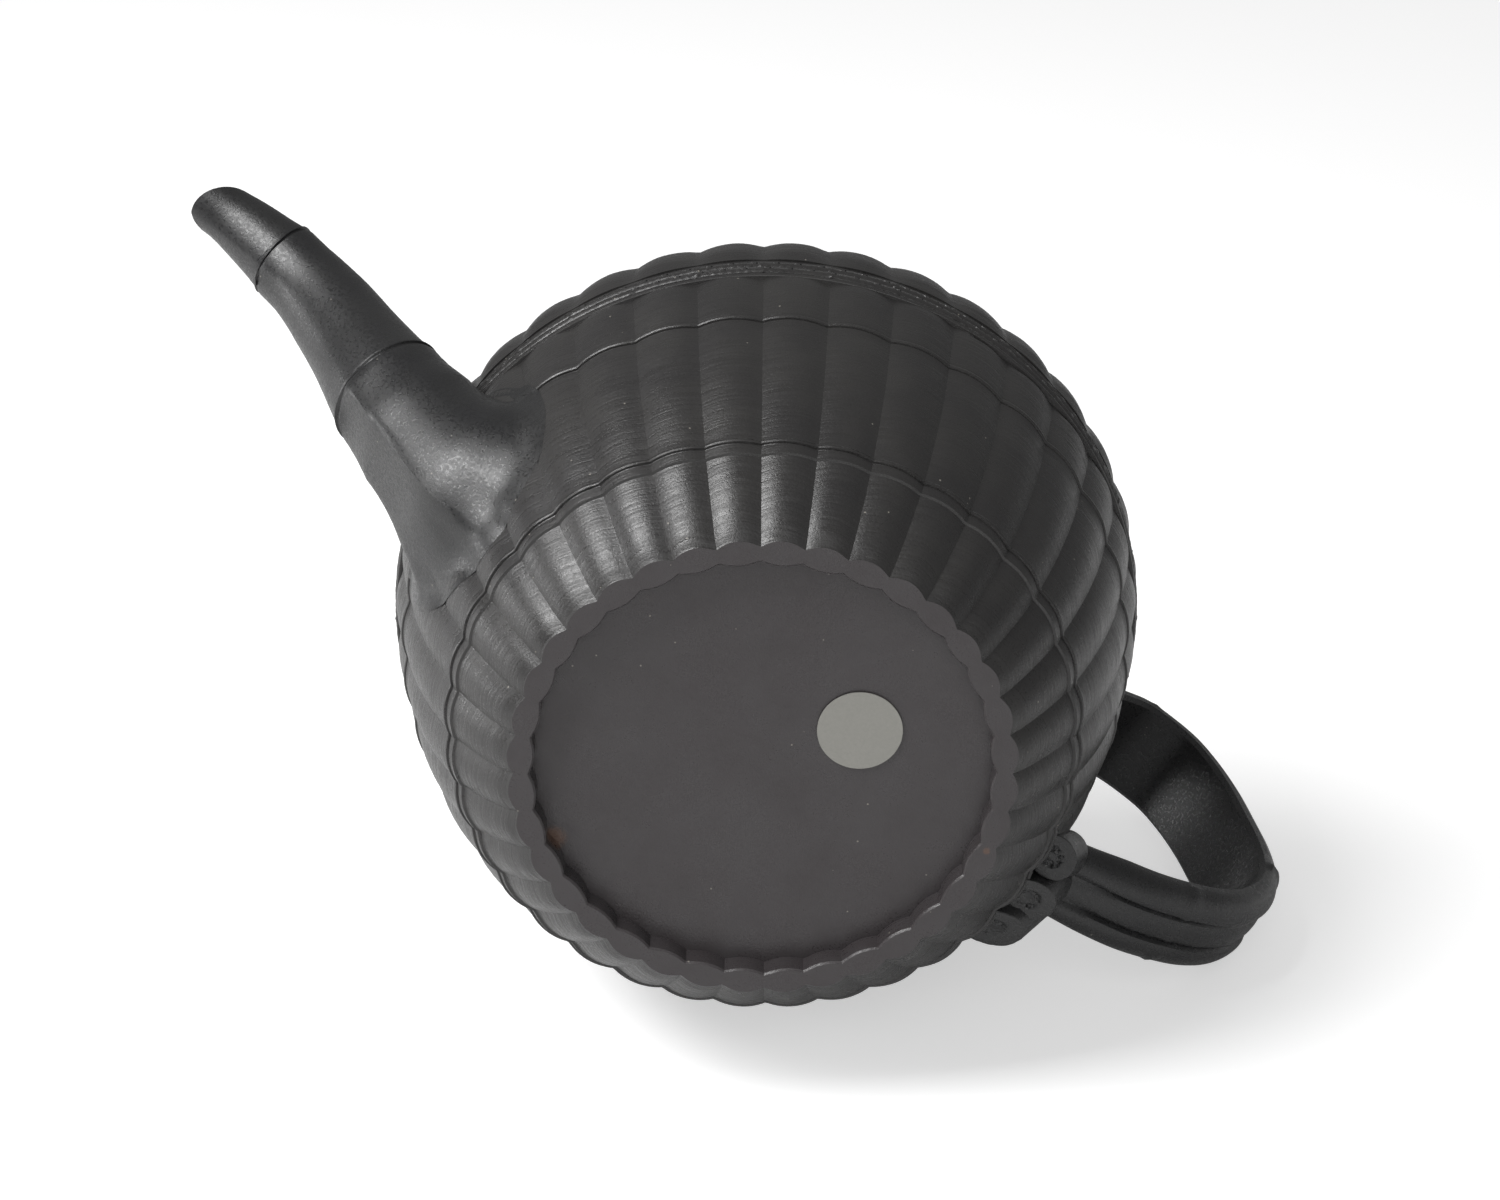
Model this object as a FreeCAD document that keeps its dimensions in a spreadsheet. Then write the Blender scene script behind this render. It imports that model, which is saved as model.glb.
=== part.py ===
"""Covered teapot moulded as a bundle of bamboo canes, in black dry-bodied stoneware.

The foot stands on z = 0 about the Z axis. The spout points along -X and the handle along +X.
All lengths are millimetres and all angles are degrees.
"""
import FreeCAD, Part
import math
import os

import Sketcher
from FreeCAD import Placement, Rotation, Vector

DOC = FreeCAD.newDocument("bamboo_teapot")

# Driving sizes: alias, value, what it measures
SIZES = [
    # Canes of the wall
    ("cane_count", 36, "canes round the wall"),
    ("cane_phase", -3.5, "turn of the first groove between canes from the handle"),
    ("cane_swell", 1.0, "height of a cane above the grooves beside it"),
    ("foot_radius", 46.2, "groove radius at the foot"),
    ("belly_radius", 73.0, "groove radius under the rope band"),
    ("low_node_inset", 14.2, "how far the lower node ring lies inside the belly radius"),
    ("high_node_inset", 3.0, "how far the upper node ring lies inside the belly radius"),
    ("low_cane_rise", 16.3, "height of the lowest canes"),
    ("mid_cane_rise", 32.5, "height of the middle canes"),
    ("high_cane_rise", 14.7, "height of the canes under the band"),
    ("low_bow", 0.9, "how far the lowest canes bow out from a straight line"),
    ("mid_bow", 1.4, "the same for the middle canes"),
    ("high_bow", 0.3, "the same for the canes under the band"),
    ("node_ridge_swell", 0.6, "height of a node ring above the canes"),
    ("node_ridge_width", 1.8, "width of a node ring along the cane"),
    ("wall_thickness", 3.6, "thickness of the moulded wall"),
    # Foot and base
    ("foot_rim_width", 3.2, "width of the flat rim that the pot stands on"),
    ("foot_facet_swell", 0.7, "height of the tool cuts inside the foot rim"),
    ("foot_recess", 4.5, "depth of the base slab above the foot rim"),
    ("slab_ledge", 1.4, "how far the slab reaches over the foot rim's inner edge"),
    ("slab_thickness", 4.0, "thickness of the base slab"),
    ("label_diameter", 15.8, "diameter of the blank paper label"),
    ("label_thickness", 0.2, "thickness of the blank paper label"),
    ("label_across", 11.3, "place of the label along X"),
    ("label_along", 15.4, "place of the label towards -Y"),
    # Rope band
    ("band_seat_depth", 0.6, "how far the band's land lies inside the belly radius"),
    ("band_fillet_height", 1.2, "height of each plain fillet beside the rope"),
    ("band_fillet_swell", 1.6, "how far a plain fillet stands out from the land"),
    ("band_strand_height", 2.5, "height of each strand of rope"),
    ("band_strand_swell", 2.0, "how far a strand stands out from the land"),
    ("band_joint", 0.2, "groove between neighbouring members of the band"),
    # Shoulder, mouth and collar
    ("shoulder_step", 1.0, "how far the shoulder stands out past the belly radius"),
    ("shoulder_rise", 27.0, "height of the shoulder above the band"),
    ("shoulder_power", 2.4, "squareness of the shoulder's curve"),
    ("shoulder_flat", 1.2, "width of the shoulder's flat top outside the collar"),
    ("mouth_radius", 39.5, "radius of the mouth"),
    ("lid_ledge", 2.8, "width of the ledge that the lid rests on"),
    ("collar_width", 3.0, "radial width of the collar round the mouth"),
    ("collar_height", 3.6, "height of the collar round the mouth"),
    ("collar_chamfer", 0.9, "bevel on the collar's upper edges"),
    # Spout
    ("spout_bury", 8.9, "how deep the root's centre lies inside the wall"),
    ("spout_root_rise", 19.7, "height of the root's centre above the lower node ring"),
    ("spout_reach_out", 58.5, "distance of the mouth's centre from the belly"),
    ("spout_tip_rise", 7.1, "height of the mouth's centre above the shoulder"),
    ("spout_root_half", 19.5, "half width of the spout at its buried root"),
    ("spout_depth_share", 0.86, "depth of the spout as a share of its width"),
    ("spout_wall", 1.8, "wall of the spout"),
    ("spout_mouth_tilt", 60.0, "tilt of the mouth's normal above level"),
    ("strainer_hole_radius", 1.9, "radius of the holes pierced behind the spout"),
    ("strainer_pitch", 7.6, "spacing of the pierced holes"),
    # Handle
    ("handle_bury", 4.4, "how deep the handle's ends lie inside the wall"),
    ("handle_reach_out", 48.2, "distance of the grip's middle line from the belly"),
    ("handle_low_rise", 12.5, "height of the lower end above the lower node ring"),
    ("handle_top_rise", 15.5, "height of the top's middle line above the shoulder"),
    ("strap_width", 21.0, "width of the strap at the top"),
    ("strap_thickness", 5.8, "thickness of the strap at a cane's crest"),
    ("strap_edge_bevel", 0.9, "bevel along the inner face"),
    ("strap_node_swell", 0.7, "height of a node on the strap"),
    ("terminal_radius", 4.3, "radius of a cut cane end"),
    ("terminal_top_standoff", 5.7, "distance of a cut cane's upper end from the wall"),
    ("terminal_foot_standoff", 4.3, "distance of a cut cane's lower end from the wall"),
    ("terminal_top_drop", 0.3, "drop of a cut cane's upper end below the strap's middle line"),
    ("terminal_drop", 13.3, "drop from a cut cane's upper end to its lower end"),
    ("terminal_top_spread", 6.0, "spacing of the canes where they leave the strap"),
    ("terminal_foot_spread", 10.2, "spacing of the canes at their cut ends"),
    # Lid and knop
    ("lid_seat_gap", 0.1, "gap between the lid and its ledge"),
    ("lid_clearance", 0.5, "gap round the lid and round its flange"),
    ("lid_cane_count", 24, "canes that radiate over the lid"),
    ("lid_cane_swell", 0.7, "height of a lid cane at the rim"),
    ("lid_rim_height", 2.6, "height of the lid's upright rim"),
    ("lid_rise", 9.0, "rise of the dome above the rim"),
    ("lid_thickness", 3.4, "thickness of the lid"),
    ("flange_depth", 8.0, "depth of the flange under the lid"),
    ("flange_thickness", 2.6, "thickness of the flange"),
    ("steam_hole_radius", 1.4, "radius of the steam hole"),
    ("steam_hole_reach", 15.0, "distance of the steam hole from the axis"),
    ("knop_foot_radius", 7.6, "radius of the knop's foot on the dome"),
    ("knop_waist_radius", 4.6, "radius of the knop's waist"),
    ("knop_stem_height", 7.4, "height of the knop's stem"),
    ("knop_node_radius", 6.4, "radius of the node ring on the knop"),
    ("knop_node_height", 2.2, "height of the node ring on the knop"),
    ("knop_cane_radius", 5.6, "radius of the cut cane on top"),
    ("knop_cane_height", 7.4, "height of the cut cane on top"),
    ("knop_cane_flare", 0.8, "how far the cut cane widens to its end"),
    ("knop_bevel", 0.9, "bevel on the knop's edges"),
    # Working allowances
    ("overrun", 5.0, "how far a cutting form passes the surface it cuts"),
]

# Places along a length, as shares of it
STATION_shares = (0.25, 0.5, 0.75)
SHOULDER_shares = (0.0, 0.16, 0.3, 0.44, 0.58, 0.72, 0.86, 1.0)
DOME_shares = (0.0, 0.2, 0.4, 0.6, 0.8, 1.0)

# Spout stations: share of the reach, of the rise and of the root's half width
SPOUT_shares = (
    (0.000, 0.000, 1.000),
    (0.110, 0.115, 0.944),
    (0.205, 0.215, 0.831),
    (0.300, 0.316, 0.728),
    (0.381, 0.407, 0.651),
    (0.408, 0.440, 0.672),
    (0.436, 0.477, 0.610),
    (0.517, 0.601, 0.544),
    (0.604, 0.723, 0.497),
    (0.687, 0.816, 0.451),
    (0.769, 0.886, 0.420),
    (0.796, 0.905, 0.440),
    (0.828, 0.924, 0.392),
    (0.925, 0.972, 0.344),
    (1.000, 1.000, 0.303),
    (1.110, 1.036, 0.295),
)
STRAINER_STATION = 1
STRAINER_RING_COUNT = 6

# Handle stations: share of the reach and of the height, of the width, and of the node swell
STRAP_shares = (
    (0.000, 0.671, 1.00, 0),
    (0.147, 0.806, 1.00, 0),
    (0.310, 0.918, 1.00, 0),
    (0.474, 0.986, 1.00, 0),
    (0.560, 0.999, 1.00, 0),
    (0.585, 1.001, 1.00, 1),
    (0.610, 1.000, 1.00, 0),
    (0.743, 0.962, 0.99, 0),
    (0.838, 0.888, 0.98, 0),
    (0.907, 0.789, 0.97, 0),
    (0.954, 0.677, 0.95, 0),
    (0.993, 0.566, 0.93, 0),
    (1.000, 0.460, 0.91, 0),
    (0.980, 0.385, 0.89, 0),
    (0.968, 0.363, 0.88, 1),
    (0.952, 0.341, 0.87, 0),
    (0.871, 0.249, 0.84, 0),
    (0.752, 0.167, 0.82, 0),
    (0.640, 0.116, 0.80, 0),
    (0.613, 0.106, 0.80, 1),
    (0.585, 0.096, 0.79, 0),
    (0.474, 0.061, 0.79, 0),
    (0.335, 0.035, 0.78, 0),
    (0.196, 0.018, 0.78, 0),
    (0.000, 0.000, 0.78, 0),
)

# How far the front of a bead is rounded, as a share of its height
BEAD_NOSE_share = 0.4

# The strap's section: edges and grooves as shares of its half width and of its thickness
STRAP_groove_share = 1.0 / 3.0
STRAP_crest_share = 2.0 / 3.0
STRAP_side_depth_share = 0.45
STRAP_groove_depth_share = 0.78


class Size:
    """A length of the sheet, or one worked out from such lengths: text to bind with, and number."""

    def __init__(self, text, number):
        self.text = text
        self.number = number

    def joined(self, sign, other, number):
        """Return the size that an arithmetic sign makes of this one and another."""
        text = other.text if isinstance(other, Size) else repr(other)
        return Size("(" + self.text + " " + sign + " " + text + ")", number)

    def __add__(self, other):
        return self.joined("+", other, self.number + float(other))

    def __sub__(self, other):
        return self.joined("-", other, self.number - float(other))

    def __mul__(self, other):
        return self.joined("*", other, self.number * float(other))

    def __truediv__(self, other):
        return self.joined("/", other, self.number / float(other))

    def __float__(self):
        return self.number


class Sizes:
    """The sheet's cells, read by alias."""

    def __init__(self, rows):
        self.sheet = DOC.addObject("Spreadsheet::Sheet", "sizes")
        for row, (alias, value, meaning) in enumerate(rows, start=1):
            self.sheet.set("A" + str(row), alias)
            self.sheet.set("B" + str(row), str(value))
            self.sheet.set("C" + str(row), meaning)
            self.sheet.setAlias("B" + str(row), alias)
        DOC.recompute()

    def __getattr__(self, alias):
        return Size("sizes." + alias, float(self.sheet.get(alias)))


S = Sizes(SIZES)
NONE = Size("0", 0.0)

# Heights and radii that several pieces share
LOW_NODE_RADIUS = S.belly_radius - S.low_node_inset
HIGH_NODE_RADIUS = S.belly_radius - S.high_node_inset
LOW_NODE_HEIGHT = S.low_cane_rise
HIGH_NODE_HEIGHT = LOW_NODE_HEIGHT + S.mid_cane_rise
LAND_RADIUS = S.belly_radius - S.band_seat_depth
BAND_HEIGHT = S.band_fillet_height * 2 + S.band_strand_height * 2 + S.band_joint * 3
BAND_BOTTOM = HIGH_NODE_HEIGHT + S.high_cane_rise
BAND_TOP = BAND_BOTTOM + BAND_HEIGHT
SEAM_HEIGHT = BAND_BOTTOM + BAND_HEIGHT / 2
SLAB_TOP = S.foot_recess + S.slab_thickness
SLAB_RADIUS = S.foot_radius - S.foot_rim_width + S.slab_ledge
SHOULDER_RADIUS = S.belly_radius + S.shoulder_step
SHOULDER_TOP = BAND_TOP + S.shoulder_rise
COLLAR_INNER = S.mouth_radius + S.lid_ledge
COLLAR_OUTER = COLLAR_INNER + S.collar_width
NECK_RADIUS = COLLAR_OUTER + S.shoulder_flat
SPOUT_START_HEIGHT = LOW_NODE_HEIGHT + S.spout_root_rise
SPOUT_TIP_HEIGHT = SHOULDER_TOP + S.spout_tip_rise
SPOUT_TIP_REACH = S.belly_radius + S.spout_reach_out
HANDLE_LOW_HEIGHT = LOW_NODE_HEIGHT + S.handle_low_rise
HANDLE_TOP_HEIGHT = SHOULDER_TOP + S.handle_top_rise
HANDLE_REACH = S.belly_radius + S.handle_reach_out
LID_BOTTOM = SHOULDER_TOP + S.lid_seat_gap
LID_RADIUS = COLLAR_INNER - S.lid_clearance - S.lid_cane_swell
FLANGE_RADIUS = S.mouth_radius - S.lid_clearance
FLANGE_BORE = FLANGE_RADIUS - S.flange_thickness
DOME_BOTTOM = LID_BOTTOM + S.lid_rim_height
DOME_TOP = DOME_BOTTOM + S.lid_rise
STEM_TOP = DOME_TOP + S.knop_stem_height
NODE_TOP = STEM_TOP + S.knop_node_height


# Fluted forms

def polar(radius, angle, height):
    """Return the point at a radius, an angle and a height."""
    turn = math.radians(angle)
    return Vector(radius * math.cos(turn), radius * math.sin(turn), height)


def fluted_wire(height, radius, swell, count):
    """Return a level ring of arcs that meet in grooves at the radius and swell between them."""
    pitch = 360.0 / count
    phase = float(S.cane_phase)
    grooves = [polar(radius, phase + k * pitch, height) for k in range(count)]
    arcs = []
    for k in range(count):
        crest = polar(radius + swell, phase + (k + 0.5) * pitch, height)
        arcs.append(Part.Arc(grooves[k], crest, grooves[(k + 1) % count]).toShape())
    return Part.Wire(arcs)


def fluted_solid(levels, count):
    """Return the solid that runs straight from each level to the next."""
    wires = [fluted_wire(height, radius, swell, count) for height, radius, swell in levels]
    return Part.makeLoft(wires, True, True)


def turned_solid(outline):
    """Return the solid that an outline of radii and heights makes round the axis."""
    points = [Vector(float(radius), 0, float(height)) for radius, height in outline]
    face = Part.Face(Part.makePolygon(points + points[:1]))
    return face.revolve(Vector(0, 0, 0), Vector(0, 0, 1), 360)


def feature(name, shape):
    """Add a shape to the document as one object."""
    made = DOC.addObject("Part::Feature", name)
    made.Label = name
    made.Shape = shape
    made.Placement = Placement()
    return made


def cut(name, base, tool):
    """Add the object that is left of a base when a tool's space is taken away."""
    made = DOC.addObject("Part::Cut", name)
    made.Label = name
    made.Base = base
    made.Tool = tool
    DOC.recompute()
    return made


def along_curve(start, end, bow, share):
    """Return the radius at a share of a span that bows out between its ends."""
    return start + (end - start) * share + 4 * bow * share * (1 - share)


def wall_spans():
    """Return the spans of the lower wall: heights, groove radii and bow of each."""
    return (
        (NONE, LOW_NODE_HEIGHT, S.foot_radius, LOW_NODE_RADIUS, S.low_bow),
        (LOW_NODE_HEIGHT, HIGH_NODE_HEIGHT, LOW_NODE_RADIUS, HIGH_NODE_RADIUS, S.mid_bow),
        (HIGH_NODE_HEIGHT, BAND_BOTTOM, HIGH_NODE_RADIUS, S.belly_radius, S.high_bow),
    )


def wall_radius(height):
    """Return the groove radius of the lower wall at a height."""
    for low, high, start, end, bow in wall_spans():
        if height <= high.number:
            share = (height - low.number) / (high.number - low.number)
            return along_curve(start.number, end.number, bow.number, share)
    return S.belly_radius.number


def wall_levels():
    """Return the levels of the lower wall, with a ridge round each node."""
    swell = S.cane_swell.number
    half = S.node_ridge_width.number / 2
    ridge = S.node_ridge_swell.number
    levels = [(0.0, S.foot_radius.number, swell)]
    for low, high, _start, _end, _bow in wall_spans():
        for share in STATION_shares:
            height = low.number + (high.number - low.number) * share
            levels.append((height, wall_radius(height), swell))
        node = high.number
        if node == BAND_BOTTOM.number:
            levels.append((node, S.belly_radius.number, swell))
        else:
            levels.append((node - half, wall_radius(node - half), swell))
            levels.append((node, wall_radius(node) + ridge, swell))
            levels.append((node + half, wall_radius(node + half), swell))
    return levels


def squared_curve(share, low, high, outer, inner):
    """Return radius and height at a share of a squared quarter round from outer to inner."""
    power = 2 / S.shoulder_power.number
    turn = math.radians(90 * share)
    cosine = max(math.cos(turn), 0.0)
    radius = inner + (outer - inner) * cosine ** power
    if share == 1:
        radius = inner
    return radius, low + (high - low) * math.sin(turn) ** power


def drum(radius, bottom, top):
    """Return a plain drum, such as the land that the rope band is seated on."""
    base = Vector(0, 0, bottom.number)
    return Part.makeCylinder(radius.number, top.number - bottom.number, base)


# Lower wall, foot and base

def lower_form():
    """Return the outside of the lower wall as a full solid."""
    canes = fluted_solid(wall_levels(), round(S.cane_count.number))
    return canes.fuse(drum(LAND_RADIUS, BAND_BOTTOM, SEAM_HEIGHT)).removeSplitter()


def foot_opening():
    """Return the space inside the foot rim, cut in facets as by a tool."""
    radius = S.foot_radius.number - S.foot_rim_width.number
    swell = -S.foot_facet_swell.number
    below = (-S.overrun.number, radius, swell)
    above = (S.foot_recess.number, radius, swell)
    return fluted_solid((below, above), round(S.cane_count.number))


def lower_hollow():
    """Return the pocket of the base slab and the space inside the lower wall above it."""
    thickness = S.wall_thickness.number
    outline = [(0, S.foot_recess), (SLAB_RADIUS, S.foot_recess), (SLAB_RADIUS, SLAB_TOP)]
    heights = [SLAB_TOP.number, LOW_NODE_HEIGHT.number]
    for low, high, _start, _end, _bow in wall_spans()[1:]:
        for share in STATION_shares:
            heights.append(low.number + (high.number - low.number) * share)
        heights.append(high.number)
    for height in heights:
        outline.append((wall_radius(height) - thickness, height))
    rim = S.belly_radius.number - thickness
    outline.append((rim, SEAM_HEIGHT.number + S.overrun.number))
    outline.append((0, SEAM_HEIGHT.number + S.overrun.number))
    return turned_solid(outline)


def strainer_punches():
    """Return the punches of the strainer holes, one in the middle and a ring round it."""
    reach, rise, _half = SPOUT_shares[STRAINER_STATION]
    centre_height = SPOUT_START_HEIGHT.number + rise * spout_rise()
    length = spout_reach_at(reach) - spout_start_reach() + 2 * S.overrun.number
    start = spout_start_reach() - S.overrun.number
    places = [(0.0, 0.0)]
    for k in range(STRAINER_RING_COUNT):
        turn = math.radians(360 * k / STRAINER_RING_COUNT)
        pitch = S.strainer_pitch.number
        places.append((pitch * math.cos(turn), pitch * math.sin(turn)))
    punches = []
    for across, up in places:
        base = Vector(-start, across, centre_height + up)
        radius = S.strainer_hole_radius.number
        punches.append(Part.makeCylinder(radius, length, base, Vector(-1, 0, 0)))
    return Part.makeCompound(punches)


# Spout

def spout_rise():
    """Return how far the mouth's centre lies above the buried root."""
    return SPOUT_TIP_HEIGHT.number - SPOUT_START_HEIGHT.number


def spout_start_reach():
    """Return the distance of the spout's buried root from the axis."""
    return wall_radius(SPOUT_START_HEIGHT.number) - S.spout_bury.number


def spout_reach_at(share):
    """Return the distance from the axis at a share of the spout's reach."""
    start = spout_start_reach()
    return start + (SPOUT_TIP_REACH.number - start) * share


def path_points(shares, reach_at, height_at):
    """Return the middle line's points as pairs of reach and height."""
    return [(reach_at(row[0]), height_at(row[1])) for row in shares]


def headings(points):
    """Return the unit direction of a middle line at each of its points."""
    result = []
    last = len(points) - 1
    for k in range(len(points)):
        before = points[max(k - 1, 0)]
        after = points[min(k + 1, last)]
        reach = after[0] - before[0]
        height = after[1] - before[1]
        length = math.hypot(reach, height)
        result.append((reach / length, height / length))
    return result


def spout_points():
    """Return the middle line of the spout."""
    start = SPOUT_START_HEIGHT.number
    return path_points(SPOUT_shares, spout_reach_at, lambda share: start + spout_rise() * share)


def spout_solid(inset):
    """Return the spout's form, drawn in all round by an inset."""
    points = spout_points()
    wires = []
    for row, point, heading in zip(SPOUT_shares, points, headings(points)):
        width = row[2] * S.spout_root_half.number
        depth = width * S.spout_depth_share.number
        oval = Part.Ellipse(Vector(0, 0, 0), width - inset, depth - inset).toShape()
        along = Vector(-heading[0], 0, heading[1])
        across = Vector(0, 1, 0)
        turn = Rotation(across, along.cross(across), along, "XYZ")
        oval.Placement = Placement(Vector(-point[0], 0, point[1]), turn)
        wires.append(Part.Wire([oval]))
    return Part.makeLoft(wires, True, True)


def mouth_cutter():
    """Return the block whose lower face cuts the spout's mouth."""
    side = 2 * S.spout_root_half.number
    block = Part.makeBox(2 * side, 2 * side, side, Vector(-side, -side, 0))
    tilt = 90 - S.spout_mouth_tilt.number
    turn = Rotation(Vector(0, 1, 0), -tilt)
    centre = Vector(-SPOUT_TIP_REACH.number, 0, SPOUT_TIP_HEIGHT.number)
    block.Placement = Placement(centre, turn)
    return block


# Handle

def strap_points():
    """Return the middle line of the handle strap."""
    low = HANDLE_LOW_HEIGHT.number
    root = wall_radius(low) - S.handle_bury.number
    reach = HANDLE_REACH.number - root
    height = HANDLE_TOP_HEIGHT.number - low
    return path_points(STRAP_shares, lambda a: root + reach * a, lambda b: low + height * b)


def strap_wire(width, swell, place):
    """Return the strap's section: a flat inner face, and three canes outside."""
    half = width / 2
    bevel = S.strap_edge_bevel.number
    inner = -S.strap_thickness.number / 2
    crest = S.strap_thickness.number / 2 + swell
    side = inner + S.strap_thickness.number * STRAP_side_depth_share + swell
    groove = inner + S.strap_thickness.number * STRAP_groove_depth_share + swell
    third = half * STRAP_groove_share
    middle = half * STRAP_crest_share

    def at(across, out):
        return place.multVec(Vector(across, out, 0))

    corners = [at(-half, side), at(-half, inner + bevel), at(-half + bevel, inner)]
    corners += [at(half - bevel, inner), at(half, inner + bevel), at(half, side)]
    edges = [Part.LineSegment(a, b).toShape() for a, b in zip(corners, corners[1:])]
    starts = [at(half, side), at(third, groove), at(-third, groove), at(-half, side)]
    crests = [at(middle, crest), at(0, crest), at(-middle, crest)]
    for a, b, c in zip(starts, crests, starts[1:]):
        edges.append(Part.Arc(a, b, c).toShape())
    return Part.Wire(edges)


def strap_solid():
    """Return the handle strap with its ends still buried in the wall."""
    points = strap_points()
    wires = []
    for row, point, heading in zip(STRAP_shares, points, headings(points)):
        along = Vector(heading[0], 0, heading[1])
        across = Vector(0, 1, 0)
        outward = along.cross(across)
        turn = Rotation(across, outward, across.cross(outward), "XYZ")
        place = Placement(Vector(point[0], 0, point[1]), turn)
        width = row[2] * S.strap_width.number
        wires.append(strap_wire(width, row[3] * S.strap_node_swell.number, place))
    return Part.makeLoft(wires, True, True)


def terminal(name, side):
    """Add one cut cane end, bound to the sheet, at one side of the middle."""
    top_height = HANDLE_LOW_HEIGHT.number - S.terminal_top_drop.number
    foot_height = top_height - S.terminal_drop.number
    top_reach = wall_radius(top_height) + S.terminal_top_standoff.number
    foot_reach = wall_radius(foot_height) + S.terminal_foot_standoff.number
    top = Vector(top_reach, side * S.terminal_top_spread.number, top_height)
    foot = Vector(foot_reach, side * S.terminal_foot_spread.number, foot_height)
    stick = DOC.addObject("Part::Cylinder", name)
    stick.Label = name
    stick.setExpression("Radius", S.terminal_radius.text)
    stick.Height = (foot - top).Length
    stick.Placement = Placement(top, Rotation(Vector(0, 0, 1), foot - top))
    return stick


# Lid

def dome_levels():
    """Return the levels of the lid's outside, from its rim to the knop's seat."""
    rim = LID_RADIUS.number
    swell = S.lid_cane_swell.number
    levels = [(LID_BOTTOM.number, rim, swell)]
    for share in DOME_shares:
        turn = math.radians(90 * share)
        seat = S.knop_foot_radius.number
        radius = seat + (rim - seat) * math.cos(turn) if share < 1 else seat
        height = DOME_BOTTOM.number + S.lid_rise.number * math.sin(turn)
        levels.append((height, radius, swell * radius / rim))
    return levels


def dome_hollow():
    """Return the space under the dome, flush with the flange's bore."""
    thickness = S.lid_thickness.number
    outline = [(0, LID_BOTTOM.number - S.overrun.number)]
    outline.append((FLANGE_BORE, LID_BOTTOM.number - S.overrun.number))
    for share in DOME_shares:
        turn = math.radians(90 * share)
        radius = FLANGE_BORE.number * math.cos(turn) if share < 1 else 0
        rise = S.lid_rise.number + S.lid_rim_height.number - thickness
        outline.append((radius, LID_BOTTOM.number + rise * math.sin(turn)))
    return turned_solid(outline)


# Bodies made from sketches

def new_body(name):
    """Add an empty body."""
    body = DOC.addObject("PartDesign::Body", name)
    body.Label = name
    return body


def origin_plane(body, role):
    """Return a body's own origin plane by its role."""
    for item in body.Origin.OriginFeatures:
        if item.Role == role:
            return item
    raise ValueError("no plane " + role)


def new_sketch(body, role, name):
    """Add a sketch on one of a body's origin planes."""
    sketch = body.newObject("Sketcher::SketchObject", name)
    sketch.AttachmentSupport = [(origin_plane(body, role), "")]
    sketch.MapMode = "FlatFace"
    return sketch


def bind(sketch, kind, references, size):
    """Add a driving constraint and bind it to the sheet."""
    index = sketch.addConstraint(Sketcher.Constraint(kind, *references, float(size)))
    sketch.setExpression("Constraints[" + str(index) + "]", size.text)


def bind_point(sketch, line, place):
    """Fix the first end of a line at a radius and a height."""
    radius, height = place
    if float(radius) == 0:
        sketch.addConstraint(Sketcher.Constraint("PointOnObject", line, 1, -2))
    else:
        bind(sketch, "DistanceX", (-1, 1, line, 1), radius)
    if float(height) == 0:
        sketch.addConstraint(Sketcher.Constraint("PointOnObject", line, 1, -1))
    else:
        bind(sketch, "DistanceY", (-1, 1, line, 1), height)


def turned_body(name, outline):
    """Add a body turned round the axis from an outline of radii and heights."""
    body = new_body(name)
    sketch = new_sketch(body, "XZ_Plane", name + "_outline")
    points = [Vector(float(radius), float(height), 0) for radius, height in outline]
    count = len(points)
    for k in range(count):
        sketch.addGeometry(Part.LineSegment(points[k], points[(k + 1) % count]), False)
    for k in range(count):
        joined = Sketcher.Constraint("Coincident", k, 2, (k + 1) % count, 1)
        sketch.addConstraint(joined)
    for k, place in enumerate(outline):
        bind_point(sketch, k, place)
    turned = body.newObject("PartDesign::Revolution", name + "_turned")
    turned.Profile = sketch
    turned.ReferenceAxis = (sketch, ["V_Axis"])
    turned.Angle = 360
    sketch.Visibility = False
    return body


def bead_body(name, seat, bottom, height, swell):
    """Add a ring with a flat back on a seat and a rounded front."""
    body = new_body(name)
    sketch = new_sketch(body, "XZ_Plane", name + "_outline")
    nose = height * BEAD_NOSE_share
    side = seat + swell - nose
    low = Vector(side.number, bottom.number, 0)
    high = Vector(side.number, (bottom + height).number, 0)
    front = Vector((side + nose).number, (bottom + height / 2).number, 0)
    low_back = Vector(seat.number, low.y, 0)
    high_back = Vector(seat.number, high.y, 0)
    sketch.addGeometry(Part.LineSegment(low_back, low), False)
    sketch.addGeometry(Part.Arc(low, front, high), False)
    sketch.addGeometry(Part.LineSegment(high, high_back), False)
    sketch.addGeometry(Part.LineSegment(high_back, low_back), False)
    for line in range(4):
        joined = Sketcher.Constraint("Coincident", line, 2, (line + 1) % 4, 1)
        sketch.addConstraint(joined)
    for kind, line in (("Horizontal", 0), ("Horizontal", 2), ("Vertical", 3)):
        sketch.addConstraint(Sketcher.Constraint(kind, line))
    sketch.addConstraint(Sketcher.Constraint("Equal", 0, 2))
    bind_point(sketch, 0, (seat, bottom))
    bind(sketch, "DistanceX", (0, 1, 0, 2), side - seat)
    bind(sketch, "DistanceY", (3, 2, 3, 1), height)
    bind(sketch, "Radius", (1,), (height * height / 4 + nose * nose) / (nose * 2))
    turned = body.newObject("PartDesign::Revolution", name + "_turned")
    turned.Profile = sketch
    turned.ReferenceAxis = (sketch, ["V_Axis"])
    turned.Angle = 360
    sketch.Visibility = False
    return body


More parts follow.
